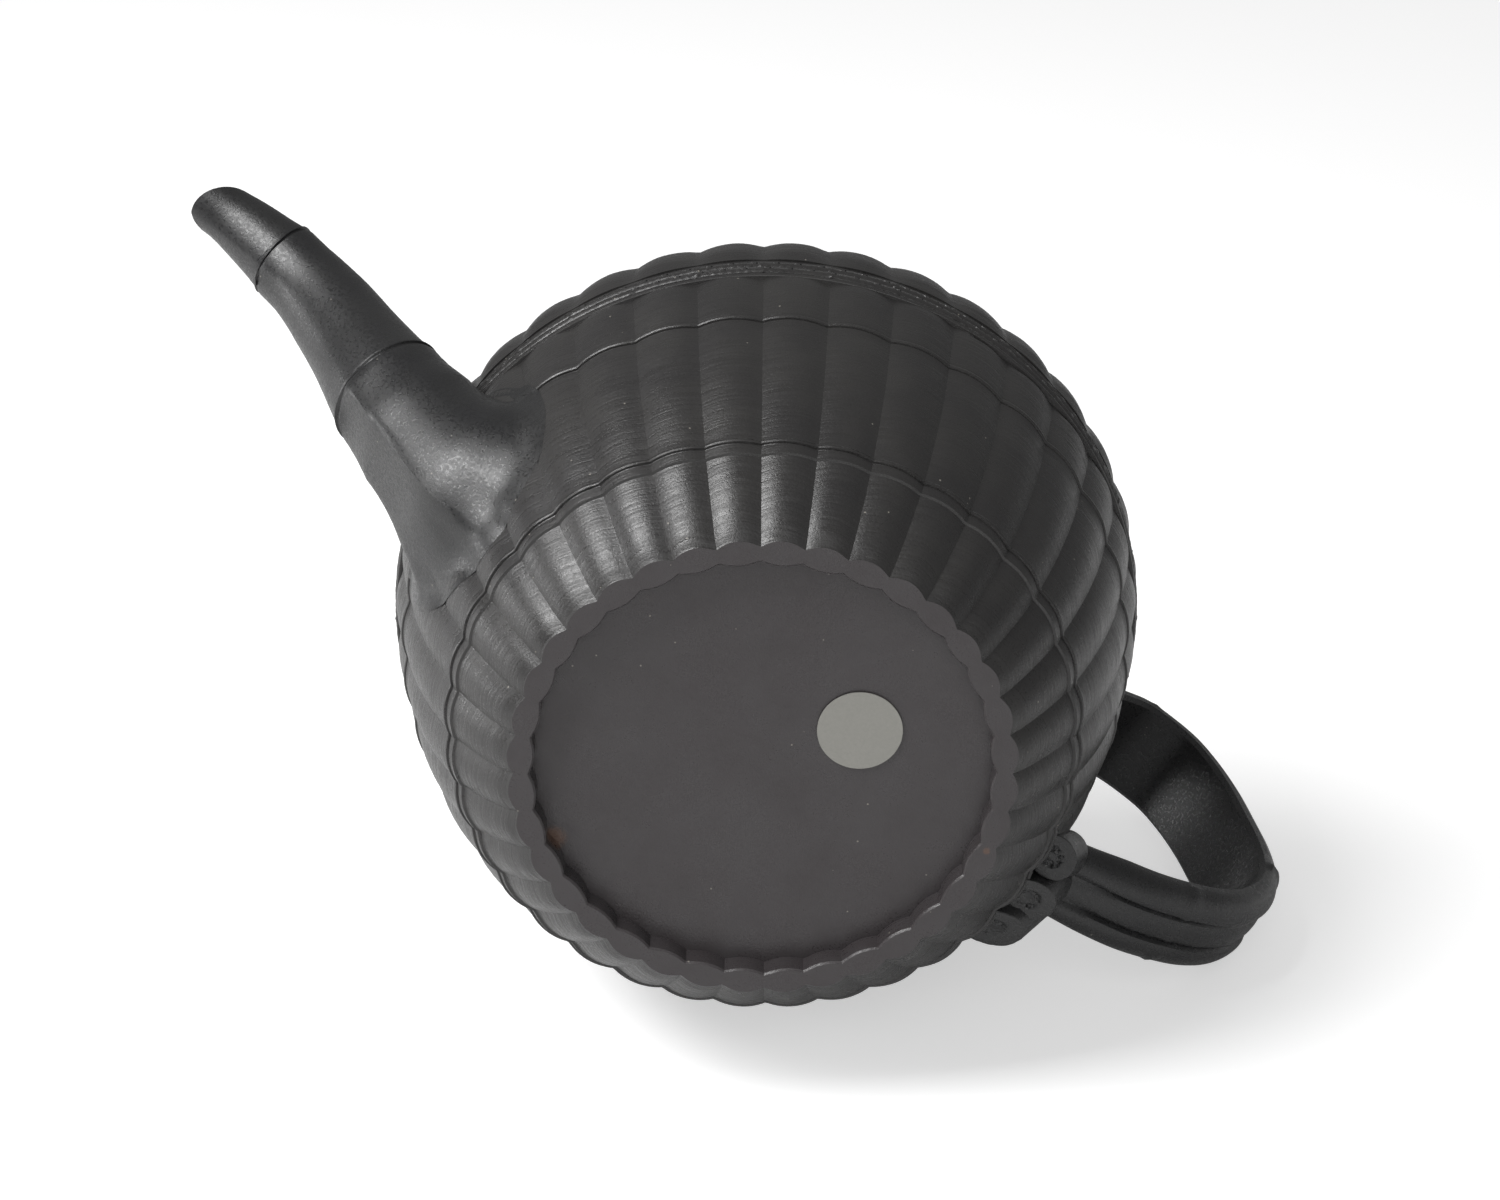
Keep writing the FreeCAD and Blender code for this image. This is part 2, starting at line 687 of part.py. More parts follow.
def disc_body(name, radius, thickness, bottom, centre):
    """Add a round slab on a level, at a place given as two sizes, the second towards -Y."""
    body = new_body(name)
    sketch = new_sketch(body, "XY_Plane", name + "_outline")
    across, along = centre
    middle = Vector(float(across), -float(along), 0)
    sketch.addGeometry(Part.Circle(middle, Vector(0, 0, 1), radius.number), False)
    bind(sketch, "Radius", (0,), radius)
    if float(across) == 0:
        sketch.addConstraint(Sketcher.Constraint("PointOnObject", 0, 3, -2))
    else:
        bind(sketch, "DistanceX", (-1, 1, 0, 3), across)
    if float(along) == 0:
        sketch.addConstraint(Sketcher.Constraint("PointOnObject", 0, 3, -1))
    else:
        bind(sketch, "DistanceY", (0, 3, -1, 1), along)
    pad = body.newObject("PartDesign::Pad", name + "_pad")
    pad.Profile = sketch
    pad.Length = thickness.number
    pad.setExpression("Length", thickness.text)
    sketch.Visibility = False
    body.Placement = Placement(Vector(0, 0, bottom.number), Rotation())
    body.setExpression("Placement.Base.z", bottom.text)
    return body


def build_pot():
    """Build the pot's own pieces and return them."""
    wall_form = feature("lower_wall_form", lower_form())
    hollow = wall_form.Shape.cut(lower_hollow()).cut(foot_opening())
    wall_shell = feature("lower_wall_shell", hollow)
    punches = feature("strainer_punches", strainer_punches())
    lower_wall = cut("lower_wall", wall_shell, punches)

    shoulder_form, shoulder_wall = build_shoulder()
    base_slab = disc_body(
        "base_slab", SLAB_RADIUS, S.slab_thickness, S.foot_recess, (NONE, NONE)
    )
    label_bottom = S.foot_recess - S.label_thickness
    label_place = (S.label_across, S.label_along)
    label_radius = S.label_diameter / 2
    label = disc_body("paper_label", label_radius, S.label_thickness, label_bottom, label_place)

    pieces = [lower_wall, shoulder_wall, base_slab, label]
    pieces += build_band()
    pieces.append(build_collar())
    pieces.append(build_spout(wall_form, shoulder_form))
    pieces += build_handle(wall_form, shoulder_form)
    return pieces


def build_shoulder():
    """Build the shoulder, and return its full form and its shell."""
    low = BAND_TOP.number
    high = SHOULDER_TOP.number
    outer = SHOULDER_RADIUS.number
    thickness = S.wall_thickness.number
    levels = []
    for share in SHOULDER_shares:
        radius, height = squared_curve(share, low, high, outer, NECK_RADIUS.number)
        levels.append((height, radius, S.cane_swell.number * radius / outer))
    canes = fluted_solid(levels, round(S.cane_count.number))
    land = drum(LAND_RADIUS, SEAM_HEIGHT, BAND_TOP)
    form = feature("shoulder_form", canes.fuse(land).removeSplitter())

    inner = S.belly_radius.number - thickness
    outline = [(0, SEAM_HEIGHT.number - S.overrun.number)]
    outline.append((inner, SEAM_HEIGHT.number - S.overrun.number))
    for share in SHOULDER_shares:
        mouth = S.mouth_radius.number
        outline.append(squared_curve(share, low, high - thickness, inner, mouth))
    outline.append((S.mouth_radius.number, high + S.overrun.number))
    outline.append((0, high + S.overrun.number))
    hollow = feature("shoulder_hollow", turned_solid(outline))
    return form, cut("shoulder_wall", form, hollow)


def build_band():
    """Build the two strands of rope and the plain fillets beside them."""
    members = (
        ("band_fillet_lower", S.band_fillet_height, S.band_fillet_swell),
        ("rope_strand_lower", S.band_strand_height, S.band_strand_swell),
        ("rope_strand_upper", S.band_strand_height, S.band_strand_swell),
        ("band_fillet_upper", S.band_fillet_height, S.band_fillet_swell),
    )
    bottom = BAND_BOTTOM
    rings = []
    for name, height, swell in members:
        rings.append(bead_body(name, LAND_RADIUS, bottom, height, swell))
        bottom = bottom + height + S.band_joint
    return rings


def build_collar():
    """Build the collar that stands round the mouth."""
    outer = COLLAR_OUTER
    top = SHOULDER_TOP + S.collar_height
    bevel = S.collar_chamfer
    outline = (
        (COLLAR_INNER, SHOULDER_TOP),
        (outer, SHOULDER_TOP),
        (outer, top - bevel),
        (outer - bevel, top),
        (COLLAR_INNER + bevel, top),
        (COLLAR_INNER, top - bevel),
    )
    return turned_body("mouth_collar", outline)


def build_spout(wall_form, shoulder_form):
    """Build the spout, fitted to the wall and band, bored through and cut at its mouth."""
    outside = feature("spout_form", spout_solid(0).cut(mouth_cutter()))
    band_radius = LAND_RADIUS + S.band_strand_swell
    band_form = feature("band_form", drum(band_radius, BAND_BOTTOM, BAND_TOP))
    on_band = cut("spout_on_band", outside, band_form)
    bore = feature("spout_bore", spout_solid(S.spout_wall.number))
    bored = cut("spout_bored", on_band, bore)
    on_shoulder = cut("spout_on_shoulder", bored, shoulder_form)
    return cut("spout", on_shoulder, wall_form)


def build_handle(wall_form, shoulder_form):
    """Build the strap and its three cut cane ends, each fitted to what carries it."""
    strap_form = feature("strap_form", strap_solid())
    seated = cut("strap_seated", strap_form, wall_form)
    strap = cut("handle_strap", seated, shoulder_form)
    pieces = [strap]
    middle = None
    for name, side in (("middle", 0), ("near", -1), ("far", 1)):
        stick = terminal("cane_stick_" + name, side)
        on_wall = cut("cane_on_wall_" + name, stick, wall_form)
        final = "cane_terminal_" + name
        if middle is None:
            middle = cut(final, on_wall, strap_form)
            pieces.append(middle)
        else:
            on_strap = cut("cane_on_strap_" + name, on_wall, strap_form)
            pieces.append(cut(final, on_strap, middle))
    return pieces


def build_lid():
    """Build the lid, its flange and its knop."""
    dome = fluted_solid(dome_levels(), round(S.lid_cane_count.number)).cut(dome_hollow())
    shell = feature("lid_shell", dome)
    vent = DOC.addObject("Part::Cylinder", "steam_punch")
    vent.setExpression("Radius", S.steam_hole_radius.text)
    vent.setExpression("Height", (S.lid_rise + S.lid_rim_height + S.overrun).text)
    vent.setExpression("Placement.Base.x", S.steam_hole_reach.text)
    vent.setExpression("Placement.Base.z", LID_BOTTOM.text)
    pieces = [cut("lid_dome", shell, vent)]

    flange_bottom = LID_BOTTOM - S.flange_depth
    flange = (
        (FLANGE_BORE, flange_bottom),
        (FLANGE_RADIUS, flange_bottom),
        (FLANGE_RADIUS, LID_BOTTOM),
        (FLANGE_BORE, LID_BOTTOM),
    )
    pieces.append(turned_body("lid_flange", flange))

    bevel = S.knop_bevel
    stem = (
        (NONE, DOME_TOP),
        (S.knop_foot_radius, DOME_TOP),
        (S.knop_foot_radius, DOME_TOP + bevel),
        (S.knop_waist_radius, DOME_TOP + S.knop_stem_height / 2),
        (S.knop_cane_radius, STEM_TOP),
        (NONE, STEM_TOP),
    )
    pieces.append(turned_body("knop_stem", stem))

    node = (
        (NONE, STEM_TOP),
        (S.knop_node_radius - bevel, STEM_TOP),
        (S.knop_node_radius, STEM_TOP + S.knop_node_height / 2),
        (S.knop_node_radius - bevel, NODE_TOP),
        (NONE, NODE_TOP),
    )
    pieces.append(turned_body("knop_node_ring", node))

    end = S.knop_cane_radius + S.knop_cane_flare
    knop_top = NODE_TOP + S.knop_cane_height
    cane = (
        (NONE, NODE_TOP),
        (S.knop_cane_radius - bevel, NODE_TOP),
        (S.knop_cane_radius - bevel, NODE_TOP + S.knop_cane_height / 2),
        (end, knop_top - bevel),
        (end - bevel, knop_top),
        (NONE, knop_top),
    )
    pieces.append(turned_body("knop_cane", cane))
    return pieces


def check(item):
    """Stop if an object failed, or if its shape is missing or broken."""
    states = " ".join(item.State)
    if "Invalid" in states or "Error" in states:
        raise RuntimeError(item.Label + " failed: " + states)
    if item.Shape.isNull() or not item.Shape.isValid():
        raise RuntimeError(item.Label + " has no valid shape")


def main():
    """Build every piece, check them all and write one file for each."""
    pieces = build_pot() + build_lid()
    DOC.recompute()
    for item in DOC.Objects:
        if hasattr(item, "Shape") and not item.isDerivedFrom("App::OriginFeature"):
            if item.TypeId != "Sketcher::SketchObject":
                check(item)
    os.makedirs("parts", exist_ok=True)
    for piece in pieces:
        piece.Shape.exportStep("parts/" + piece.Label + ".step")
        box = piece.Shape.BoundBox
        print(
            piece.Label,
            "solids", len(piece.Shape.Solids),
            "faces", len(piece.Shape.Faces),
            "volume", round(piece.Shape.Volume, 1),
            "x", round(box.XMin, 1), round(box.XMax, 1),
            "y", round(box.YMin, 1), round(box.YMax, 1),
            "z", round(box.ZMin, 1), round(box.ZMax, 1),
        )


main()
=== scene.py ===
"""A covered teapot in black dry-bodied stoneware, moulded as a bundle of bamboo canes.

The pot stands upright in the frame of its CAD parts: foot on z = 0, spout along -X and handle
along +X. The camera looks up at its base, and the table that it lies on is the upright stage.
"""

import logging
import math
from dataclasses import dataclass, field
from enum import Enum
from typing import Callable, Sequence

import bmesh
import bpy
from mathutils import Matrix, Vector

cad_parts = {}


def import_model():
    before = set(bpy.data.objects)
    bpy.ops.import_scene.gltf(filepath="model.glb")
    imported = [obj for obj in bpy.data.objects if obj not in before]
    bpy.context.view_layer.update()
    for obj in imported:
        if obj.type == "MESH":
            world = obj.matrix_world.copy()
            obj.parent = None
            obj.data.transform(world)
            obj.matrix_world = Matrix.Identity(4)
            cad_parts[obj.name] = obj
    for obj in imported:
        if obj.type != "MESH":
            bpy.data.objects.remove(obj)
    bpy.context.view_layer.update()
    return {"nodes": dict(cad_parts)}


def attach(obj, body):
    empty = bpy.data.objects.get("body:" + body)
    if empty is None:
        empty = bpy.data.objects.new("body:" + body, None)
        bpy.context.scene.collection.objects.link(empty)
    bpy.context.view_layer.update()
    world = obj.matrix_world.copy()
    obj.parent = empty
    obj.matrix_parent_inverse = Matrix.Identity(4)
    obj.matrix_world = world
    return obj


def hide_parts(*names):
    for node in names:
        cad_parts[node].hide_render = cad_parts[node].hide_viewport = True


MM = 0.001
MERGE_REACH = 0.002 * MM
ROUND_DOUBLINGS = 4
CREASE_ANGLE = math.radians(24)

LOG = logging.getLogger("teapot")

Weigh = Callable[[int, Vector], float]
Profile = list[tuple[float, float]]


class Body(Enum):
    """The two bodies that the pieces ride on."""

    POT = "pot"
    LID = "lid"


class Slot(Enum):
    """The material slots of the record."""

    STONE = "black_stoneware"
    LABEL = "label_paper"


# ---------------------------------------------------------------- finishes


def linear(colour: str) -> tuple[float, float, float, float]:
    """Turn an sRGB hex colour to linear.

    Args:
        colour: Six hex digits after a hash.

    Returns:
        Red, green, blue and an alpha of one.
    """
    shares = [int(colour[k:k + 2], 16) / 255 for k in (1, 3, 5)]
    low = [share / 12.92 for share in shares]
    high = [((share + 0.055) / 1.055) ** 2.4 for share in shares]
    chosen = [a if share <= 0.04045 else b for share, a, b in zip(shares, low, high)]
    return (chosen[0], chosen[1], chosen[2], 1.0)


def add_node(
    tree: bpy.types.NodeTree,
    kind: str,
    inputs: dict[str | int, object] | None = None,
    **settings: object,
) -> bpy.types.Node:
    """Add a node with its settings, values and links.

    Args:
        tree: The tree that gets the node.
        kind: The node's type name.
        inputs: Values, or sockets to link from, by input name or number.
        settings: Properties of the node itself.

    Returns:
        The new node.
    """
    node = tree.nodes.new(kind)
    for name, value in settings.items():
        setattr(node, name, value)
    for name, value in (inputs or {}).items():
        if isinstance(value, bpy.types.NodeSocket):
            tree.links.new(value, node.inputs[name])
        else:
            node.inputs[name].default_value = value
    return node


@dataclass(frozen=True)
class BlackStoneware:
    """Black basalt-type stoneware, moulded or turned and fired without a glaze.

    The dry body is a soft charcoal grey with a faint waxy sheen that breaks up into grain. Fine
    level turning lines cross it, and a few pale grains of grit show in it.
    """

    name: str
    body: str = "#272626"
    worn: str = "#2e2d2c"
    grit: str = "#77736c"
    roughness: float = 0.34
    sheen: float = 1.5
    line_height: float = 0.45 * MM
    line_length: float = 10 * MM
    line_depth: float = 0.08 * MM
    grain_size: float = 0.5 * MM
    grain_depth: float = 0.07 * MM
    grit_spacing: float = 3.6 * MM
    grit_radius: float = 0.18 * MM
    cloud_size: float = 14 * MM
    # Middle and radius of each brown bloom of iron on the foot
    iron: str = "#574338"
    blooms: tuple[tuple[Vector, float], ...] = (
        (Vector((-23.9, 34.8, 4.2)) * MM, 3.6 * MM), (Vector((43.6, -9.2, 0.0)) * MM, 1.1 * MM),
    )

    def material(self) -> bpy.types.Material:
        """Build the material.

        Returns:
            A material on object coordinates.
        """
        made = bpy.data.materials.new(self.name)
        made.use_nodes = True
        tree = made.node_tree
        tree.nodes.clear()
        place = add_node(tree, "ShaderNodeTexCoord").outputs["Object"]

        # Slow clouds of wear, where handling has left the body a little paler
        clouds = add_node(
            tree, "ShaderNodeTexNoise",
            {"Vector": place, "Scale": 1 / self.cloud_size, "Detail": 3.0, "Roughness": 0.6},
        )
        wear = add_node(
            tree, "ShaderNodeMapRange",
            {"Value": clouds.outputs["Fac"], "From Min": 0.35, "From Max": 0.75},
        )
        tone = add_node(
            tree, "ShaderNodeMix",
            {0: wear.outputs["Result"], 6: linear(self.body), 7: linear(self.worn)},
            data_type="RGBA",
        )

        # Level lines of the turner's tool
        stretch = (1 / self.line_length, 1 / self.line_length, 1 / self.line_height)
        drawn = add_node(tree, "ShaderNodeMapping", {"Vector": place, "Scale": stretch})
        lines = add_node(
            tree, "ShaderNodeTexNoise",
            {"Vector": drawn.outputs[0], "Scale": 1.0, "Detail": 2.0, "Roughness": 0.55},
        )
        # Grain of the body, drawn a little coarser than its true 0.1 mm so that it shows
        grain = add_node(
            tree, "ShaderNodeTexNoise",
            {"Vector": place, "Scale": 1 / self.grain_size, "Detail": 4.0, "Roughness": 0.7},
        )

        # Pale grit: one grain in some of the cells of a net
        cells = add_node(
            tree, "ShaderNodeTexVoronoi", {"Vector": place, "Scale": 1 / self.grit_spacing}
        )
        grit = add_node(
            tree, "ShaderNodeMath",
            {0: cells.outputs["Distance"], 1: self.grit_radius / self.grit_spacing},
            operation="LESS_THAN",
        )
        chosen = add_node(
            tree, "ShaderNodeSeparateColor", {"Color": cells.outputs["Color"]}
        )
        some = add_node(
            tree, "ShaderNodeMath", {0: chosen.outputs["Red"], 1: 0.55}, operation="GREATER_THAN"
        )
        specks = add_node(
            tree, "ShaderNodeMath", {0: grit.outputs[0], 1: some.outputs[0]}, operation="MULTIPLY"
        )
        colour = add_node(
            tree, "ShaderNodeMix",
            {0: specks.outputs[0], 6: tone.outputs[2], 7: linear(self.grit)},
            data_type="RGBA",
        )

        # Iron that bloomed out of the clay in ragged brown spots
        reached = None
        for centre, radius in self.blooms:
            apart = add_node(
                tree, "ShaderNodeVectorMath", {0: place, 1: centre}, operation="DISTANCE"
            )
            near = add_node(
                tree, "ShaderNodeMapRange",
                {
                    "Value": apart.outputs["Value"], "From Min": 0.0, "From Max": radius,
                    "To Min": 1.0, "To Max": 0.0,
                },
            )
            if reached is None:
                reached = near.outputs["Result"]
            else:
                reached = add_node(
                    tree, "ShaderNodeMath", {0: reached, 1: near.outputs["Result"]},
                    operation="MAXIMUM",
                ).outputs[0]
        ragged = add_node(
            tree, "ShaderNodeMath", {0: reached, 1: grain.outputs["Fac"]}, operation="MULTIPLY"
        )
        bloomed = add_node(
            tree, "ShaderNodeMapRange",
            {"Value": ragged.outputs[0], "From Min": 0.12, "From Max": 0.3, "To Max": 0.85},
        )
        stained = add_node(
            tree, "ShaderNodeMix",
            {0: bloomed.outputs["Result"], 6: colour.outputs[2], 7: linear(self.iron)},
            data_type="RGBA",
        )

        # The sheen breaks up with the grain and the lines
        shine = add_node(
            tree, "ShaderNodeMath",
            {0: grain.outputs["Fac"], 1: lines.outputs["Fac"]},
            operation="ADD",
        )
        matt = add_node(
            tree, "ShaderNodeMapRange",
            {
                "Value": shine.outputs[0], "From Min": 0.75, "From Max": 1.3,
                "To Min": self.roughness - 0.12, "To Max": self.roughness + 0.16,
            },
        )
        lined = add_node(
            tree, "ShaderNodeBump",
            {"Height": lines.outputs["Fac"], "Distance": self.line_depth, "Strength": 1.0},
        )
        rough = add_node(
            tree, "ShaderNodeBump",
            {
                "Height": grain.outputs["Fac"], "Distance": self.grain_depth,
                "Strength": 1.0, "Normal": lined.outputs[0],
            },
        )
        shader = add_node(
            tree, "ShaderNodeBsdfPrincipled",
            {
                "Base Color": stained.outputs[2], "Roughness": matt.outputs["Result"],
                "IOR": self.sheen, "Normal": rough.outputs[0],
            },
        )
        add_node(tree, "ShaderNodeOutputMaterial", {"Surface": shader.outputs[0]})
        return made


@dataclass(frozen=True)
class LabelPaper:
    """Plain matt grey paper, printed all over in one tone and gummed on.

    It is much paler than the clay, flat and without a sheen, with faint fibres.
    """

    name: str = "grey_gummed_paper"
    tone: str = "#8b8a84"
    shade: str = "#807f7a"
    roughness: float = 0.7
    fibre_size: float = 0.5 * MM
    fibre_depth: float = 0.01 * MM

    def material(self) -> bpy.types.Material:
        """Build the material.

        Returns:
            A material on object coordinates.
        """
        made = bpy.data.materials.new(self.name)
        made.use_nodes = True
        tree = made.node_tree
        tree.nodes.clear()
        place = add_node(tree, "ShaderNodeTexCoord").outputs["Object"]
        fibres = add_node(
            tree, "ShaderNodeTexNoise",
            {"Vector": place, "Scale": 1 / self.fibre_size, "Detail": 3.0},
        )
        colour = add_node(
            tree, "ShaderNodeMix",
            {0: fibres.outputs["Fac"], 6: linear(self.shade), 7: linear(self.tone)},
            data_type="RGBA",
        )
        bump = add_node(
            tree, "ShaderNodeBump",
            {"Height": fibres.outputs["Fac"], "Distance": self.fibre_depth, "Strength": 1.0},
        )
        shader = add_node(
            tree, "ShaderNodeBsdfPrincipled",
            {"Base Color": colour.outputs[2], "Roughness": self.roughness, "Normal": bump.outputs[0]},
        )
        add_node(tree, "ShaderNodeOutputMaterial", {"Surface": shader.outputs[0]})
        return made


@dataclass(frozen=True)
class WhiteTable:
    """White seamless board: the camera sees it white, and it keeps the pot's soft shadow."""

    name: str = "white_table_board"
    shown: float = 0.48
    shadowed: str = "#e8e8e8"
    bounced: str = "#e6e6e6"

    def material(self) -> bpy.types.Material:
        """Build the material.

        Returns:
            A material that is clear from behind.
        """
        made = bpy.data.materials.new(self.name)
        made.use_nodes = True
        tree = made.node_tree
        tree.nodes.clear()
        path = add_node(tree, "ShaderNodeLightPath")
        glow = add_node(tree, "ShaderNodeEmission", {"Strength": self.shown})
        catch = add_node(tree, "ShaderNodeBsdfDiffuse", {"Color": linear(self.shadowed)})
        seen = add_node(tree, "ShaderNodeAddShader", {0: glow.outputs[0], 1: catch.outputs[0]})
        bounce = add_node(tree, "ShaderNodeBsdfDiffuse", {"Color": linear(self.bounced)})
        front = add_node(
            tree, "ShaderNodeMixShader",
            {0: path.outputs["Is Camera Ray"], 1: bounce.outputs[0], 2: seen.outputs[0]},
        )
        clear = add_node(tree, "ShaderNodeBsdfTransparent")
        side = add_node(tree, "ShaderNodeNewGeometry")
        both = add_node(
            tree, "ShaderNodeMixShader",
            {0: side.outputs["Backfacing"], 1: front.outputs[0], 2: clear.outputs[0]},
        )
        add_node(tree, "ShaderNodeOutputMaterial", {"Surface": both.outputs[0]})
        return made


# ---------------------------------------------------------------- modelling


class Piece:
    """One mesh while it is modelled, with its object at the origin and its place in its mesh."""

    def __init__(self, name: str) -> None:
        """Take the active object as the piece and put its place in its mesh."""
        self.object = bpy.context.object
        self.object.name = name
        self.object.data.name = name
        bpy.ops.object.transform_apply(location=True, rotation=True, scale=True)

    @classmethod
    def line(cls, name: str, points: Sequence[Vector], closed: bool) -> "Piece":
        """Draw a line from point to point by extruding one vertex.

        Args:
            name: The piece's name.
            points: The points of the line.
            closed: Whether the last point is joined to the first.

        Returns:
            A piece that is a bare line.
        """
        bpy.ops.object.select_all(action="DESELECT")
        bpy.ops.mesh.primitive_plane_add(size=MM)
        piece = cls(name)
        piece.edit()
        bpy.ops.mesh.select_all(action="SELECT")
        bpy.ops.mesh.merge(type="CENTER")
        bpy.ops.transform.translate(value=points[0])
        for before, after in zip(points, points[1:]):
            bpy.ops.mesh.extrude_region_move(TRANSFORM_OT_translate={"value": after - before})
        if closed:
            piece.choose(lambda index, _place: index in (0, len(points) - 1))
            bpy.ops.mesh.edge_face_add()
        piece.leave()
        return piece

    @classmethod
    def turned(cls, name: str, profile: Profile, steps: int, closed: bool = True) -> "Piece":
        """Turn a profile of radii and heights round the axis.

        Args:
            name: The piece's name.
            profile: Radius and height of each point.
            steps: How many steps the round is made of, a multiple of 16.
            closed: Whether the profile is closed to a loop.

        Returns:
            A closed round piece.
        """
        points = [Vector((radius, 0, height)) for radius, height in profile]
        piece = cls.line(name, points, closed)
        piece.edit()
        bpy.ops.mesh.select_all(action="SELECT")
        turned = math.tau / 2 ** ROUND_DOUBLINGS
        bpy.ops.mesh.spin(
            steps=steps // 2 ** ROUND_DOUBLINGS, angle=turned, center=(0, 0, 0), axis=(0, 0, 1)
        )
        for _doubling in range(ROUND_DOUBLINGS):
            bpy.ops.mesh.select_all(action="SELECT")
            bpy.ops.mesh.duplicate()
            bpy.ops.transform.rotate(value=turned, orient_axis="Z", center_override=(0, 0, 0))
            turned *= 2
        piece.leave()
        piece.heal()
        return piece

    @classmethod
    def rod(
        cls, name: str, radius: float, sides: int, start: Vector, end: Vector
    ) -> "Piece":
        """Add a plain closed rod between two points.

        Args:
            name: The piece's name.
            radius: The rod's radius.
            sides: How many sides it has.
            start: The middle of its first end.
            end: The middle of its other end.

        Returns:
            The rod.
        """
        bpy.ops.object.select_all(action="DESELECT")
        heading = end - start
        bpy.ops.mesh.primitive_cylinder_add(
            vertices=sides, radius=radius, depth=heading.length,
            location=(start + end) / 2, rotation=heading.to_track_quat("Z", "Y").to_euler(),
        )
        return cls(name)

    def edit(self) -> None:
        """Go into edit mode on this piece alone."""
        bpy.ops.object.select_all(action="DESELECT")
        self.object.select_set(True)
        bpy.context.view_layer.objects.active = self.object
        bpy.ops.object.mode_set(mode="EDIT")
        bpy.ops.mesh.select_mode(type="VERT")

    def leave(self) -> None:
        """Go back to object mode."""
        bpy.ops.object.mode_set(mode="OBJECT")

    def choose(self, wanted: Callable[[int, Vector], bool]) -> None:
        """Select the vertices that a test on number and place wants, in edit mode."""
        bpy.ops.mesh.select_mode(type="VERT")
        bpy.ops.mesh.select_all(action="DESELECT")
        mesh = bmesh.from_edit_mesh(self.object.data)
        for vertex in mesh.verts:
            vertex.select = wanted(vertex.index, vertex.co)
        mesh.select_flush_mode()
        bmesh.update_edit_mesh(self.object.data)

    def choose_rims(self, near: Callable[[Vector], bool]) -> None:
        """Select the open edges whose middle passes a test, in edit mode."""
        bpy.ops.mesh.select_all(action="DESELECT")
        bpy.ops.mesh.select_mode(type="EDGE")
        mesh = bmesh.from_edit_mesh(self.object.data)
        for edge in mesh.edges:
            middle = (edge.verts[0].co + edge.verts[1].co) / 2
            edge.select = edge.is_boundary and near(middle)
        mesh.select_flush_mode()
        bmesh.update_edit_mesh(self.object.data)

    def heal(self) -> None:
        """Merge doubled vertices and turn all faces outwards."""
        self.edit()
        bpy.ops.mesh.select_all(action="SELECT")
        bpy.ops.mesh.remove_doubles(threshold=MERGE_REACH)
        bpy.ops.mesh.delete_loose(use_verts=True, use_edges=True, use_faces=False)
        bpy.ops.mesh.select_all(action="SELECT")
        bpy.ops.mesh.normals_make_consistent(inside=False)
        if bmesh.from_edit_mesh(self.object.data).calc_volume(signed=True) < 0:
            bpy.ops.mesh.flip_normals()
        self.leave()

    def apply(self, modifier: bpy.types.Modifier) -> None:
        """Apply a modifier of this piece."""
        bpy.context.view_layer.objects.active = self.object
        bpy.ops.object.modifier_apply(modifier=modifier.name)

    def weigh(self, name: str, weight: Weigh) -> None:
        """Add a vertex group whose weights come from each vertex's number and place."""
        group = self.object.vertex_groups.new(name=name)
        for vertex in self.object.data.vertices:
            share = weight(vertex.index, vertex.co)
            if share > 0:
                group.add([vertex.index], min(share, 1.0), "REPLACE")

    def press(self, name: str, height: float) -> None:
        """Raise the surface, or sink it, by a height times a vertex group's weight.

        Args:
            name: The vertex group, named for what is raised or sunk.
            height: How far the surface moves outwards at full weight.
        """
        shift = self.object.modifiers.new(name, "DISPLACE")
        shift.vertex_group = name
        shift.strength = height
        shift.mid_level = 0
        self.apply(shift)

    def draw_round(self, group: str, radius: float) -> None:
        """Draw the weighted vertices level onto a cylinder about the axis.

        Args:
            group: The vertex group, whose weight is the share of the way.
            radius: The cylinder's radius.
        """
        cast = self.object.modifiers.new(group, "CAST")
        cast.cast_type = "CYLINDER"
        cast.factor = 1.0
        cast.use_z = False
        cast.use_radius_as_size = False
        cast.size = radius
        cast.vertex_group = group
        self.apply(cast)

    def roughen(self, name: str, height: float, size: float, group: str = "") -> None:
        """Make the surface uneven by a cloud of a given size.

        Args:
            name: What the unevenness is.
            height: Its full height.
            size: The size of its lumps.
            group: The vertex group that it is kept to, or none.
        """
        cloud = bpy.data.textures.new(name, "CLOUDS")
        cloud.noise_scale = size
        shift = self.object.modifiers.new(name, "DISPLACE")
        shift.texture = cloud
        shift.texture_coords = "LOCAL"
        shift.strength = height
        shift.mid_level = 0.5
        shift.vertex_group = group
        self.apply(shift)

    def soften(self, group: str, rounds: int) -> None:
        """Even out the surface within a vertex group."""
        calm = self.object.modifiers.new("soften", "SMOOTH")
        calm.factor = 0.5
        calm.iterations = rounds
        calm.vertex_group = group
        self.apply(calm)

    def lay_on(self, target: bpy.types.Object, group: str, offset: float) -> None:
        """Draw the weighted vertices onto another piece's nearest surface."""
        wrap = self.object.modifiers.new("lay_on", "SHRINKWRAP")
        wrap.target = target
        wrap.vertex_group = group
        wrap.wrap_method = "NEAREST_SURFACEPOINT"
        wrap.wrap_mode = "ABOVE_SURFACE"
        wrap.offset = offset
        self.apply(wrap)

    def pierce(self, punches: Sequence["Piece"]) -> None:
        """Cut the space of some punches out of the piece and delete them."""
        for punch in punches:
            hole = self.object.modifiers.new("pierce", "BOOLEAN")
            hole.operation = "DIFFERENCE"
            hole.solver = "EXACT"
            hole.object = punch.object
            self.apply(hole)
            bpy.data.objects.remove(punch.object)

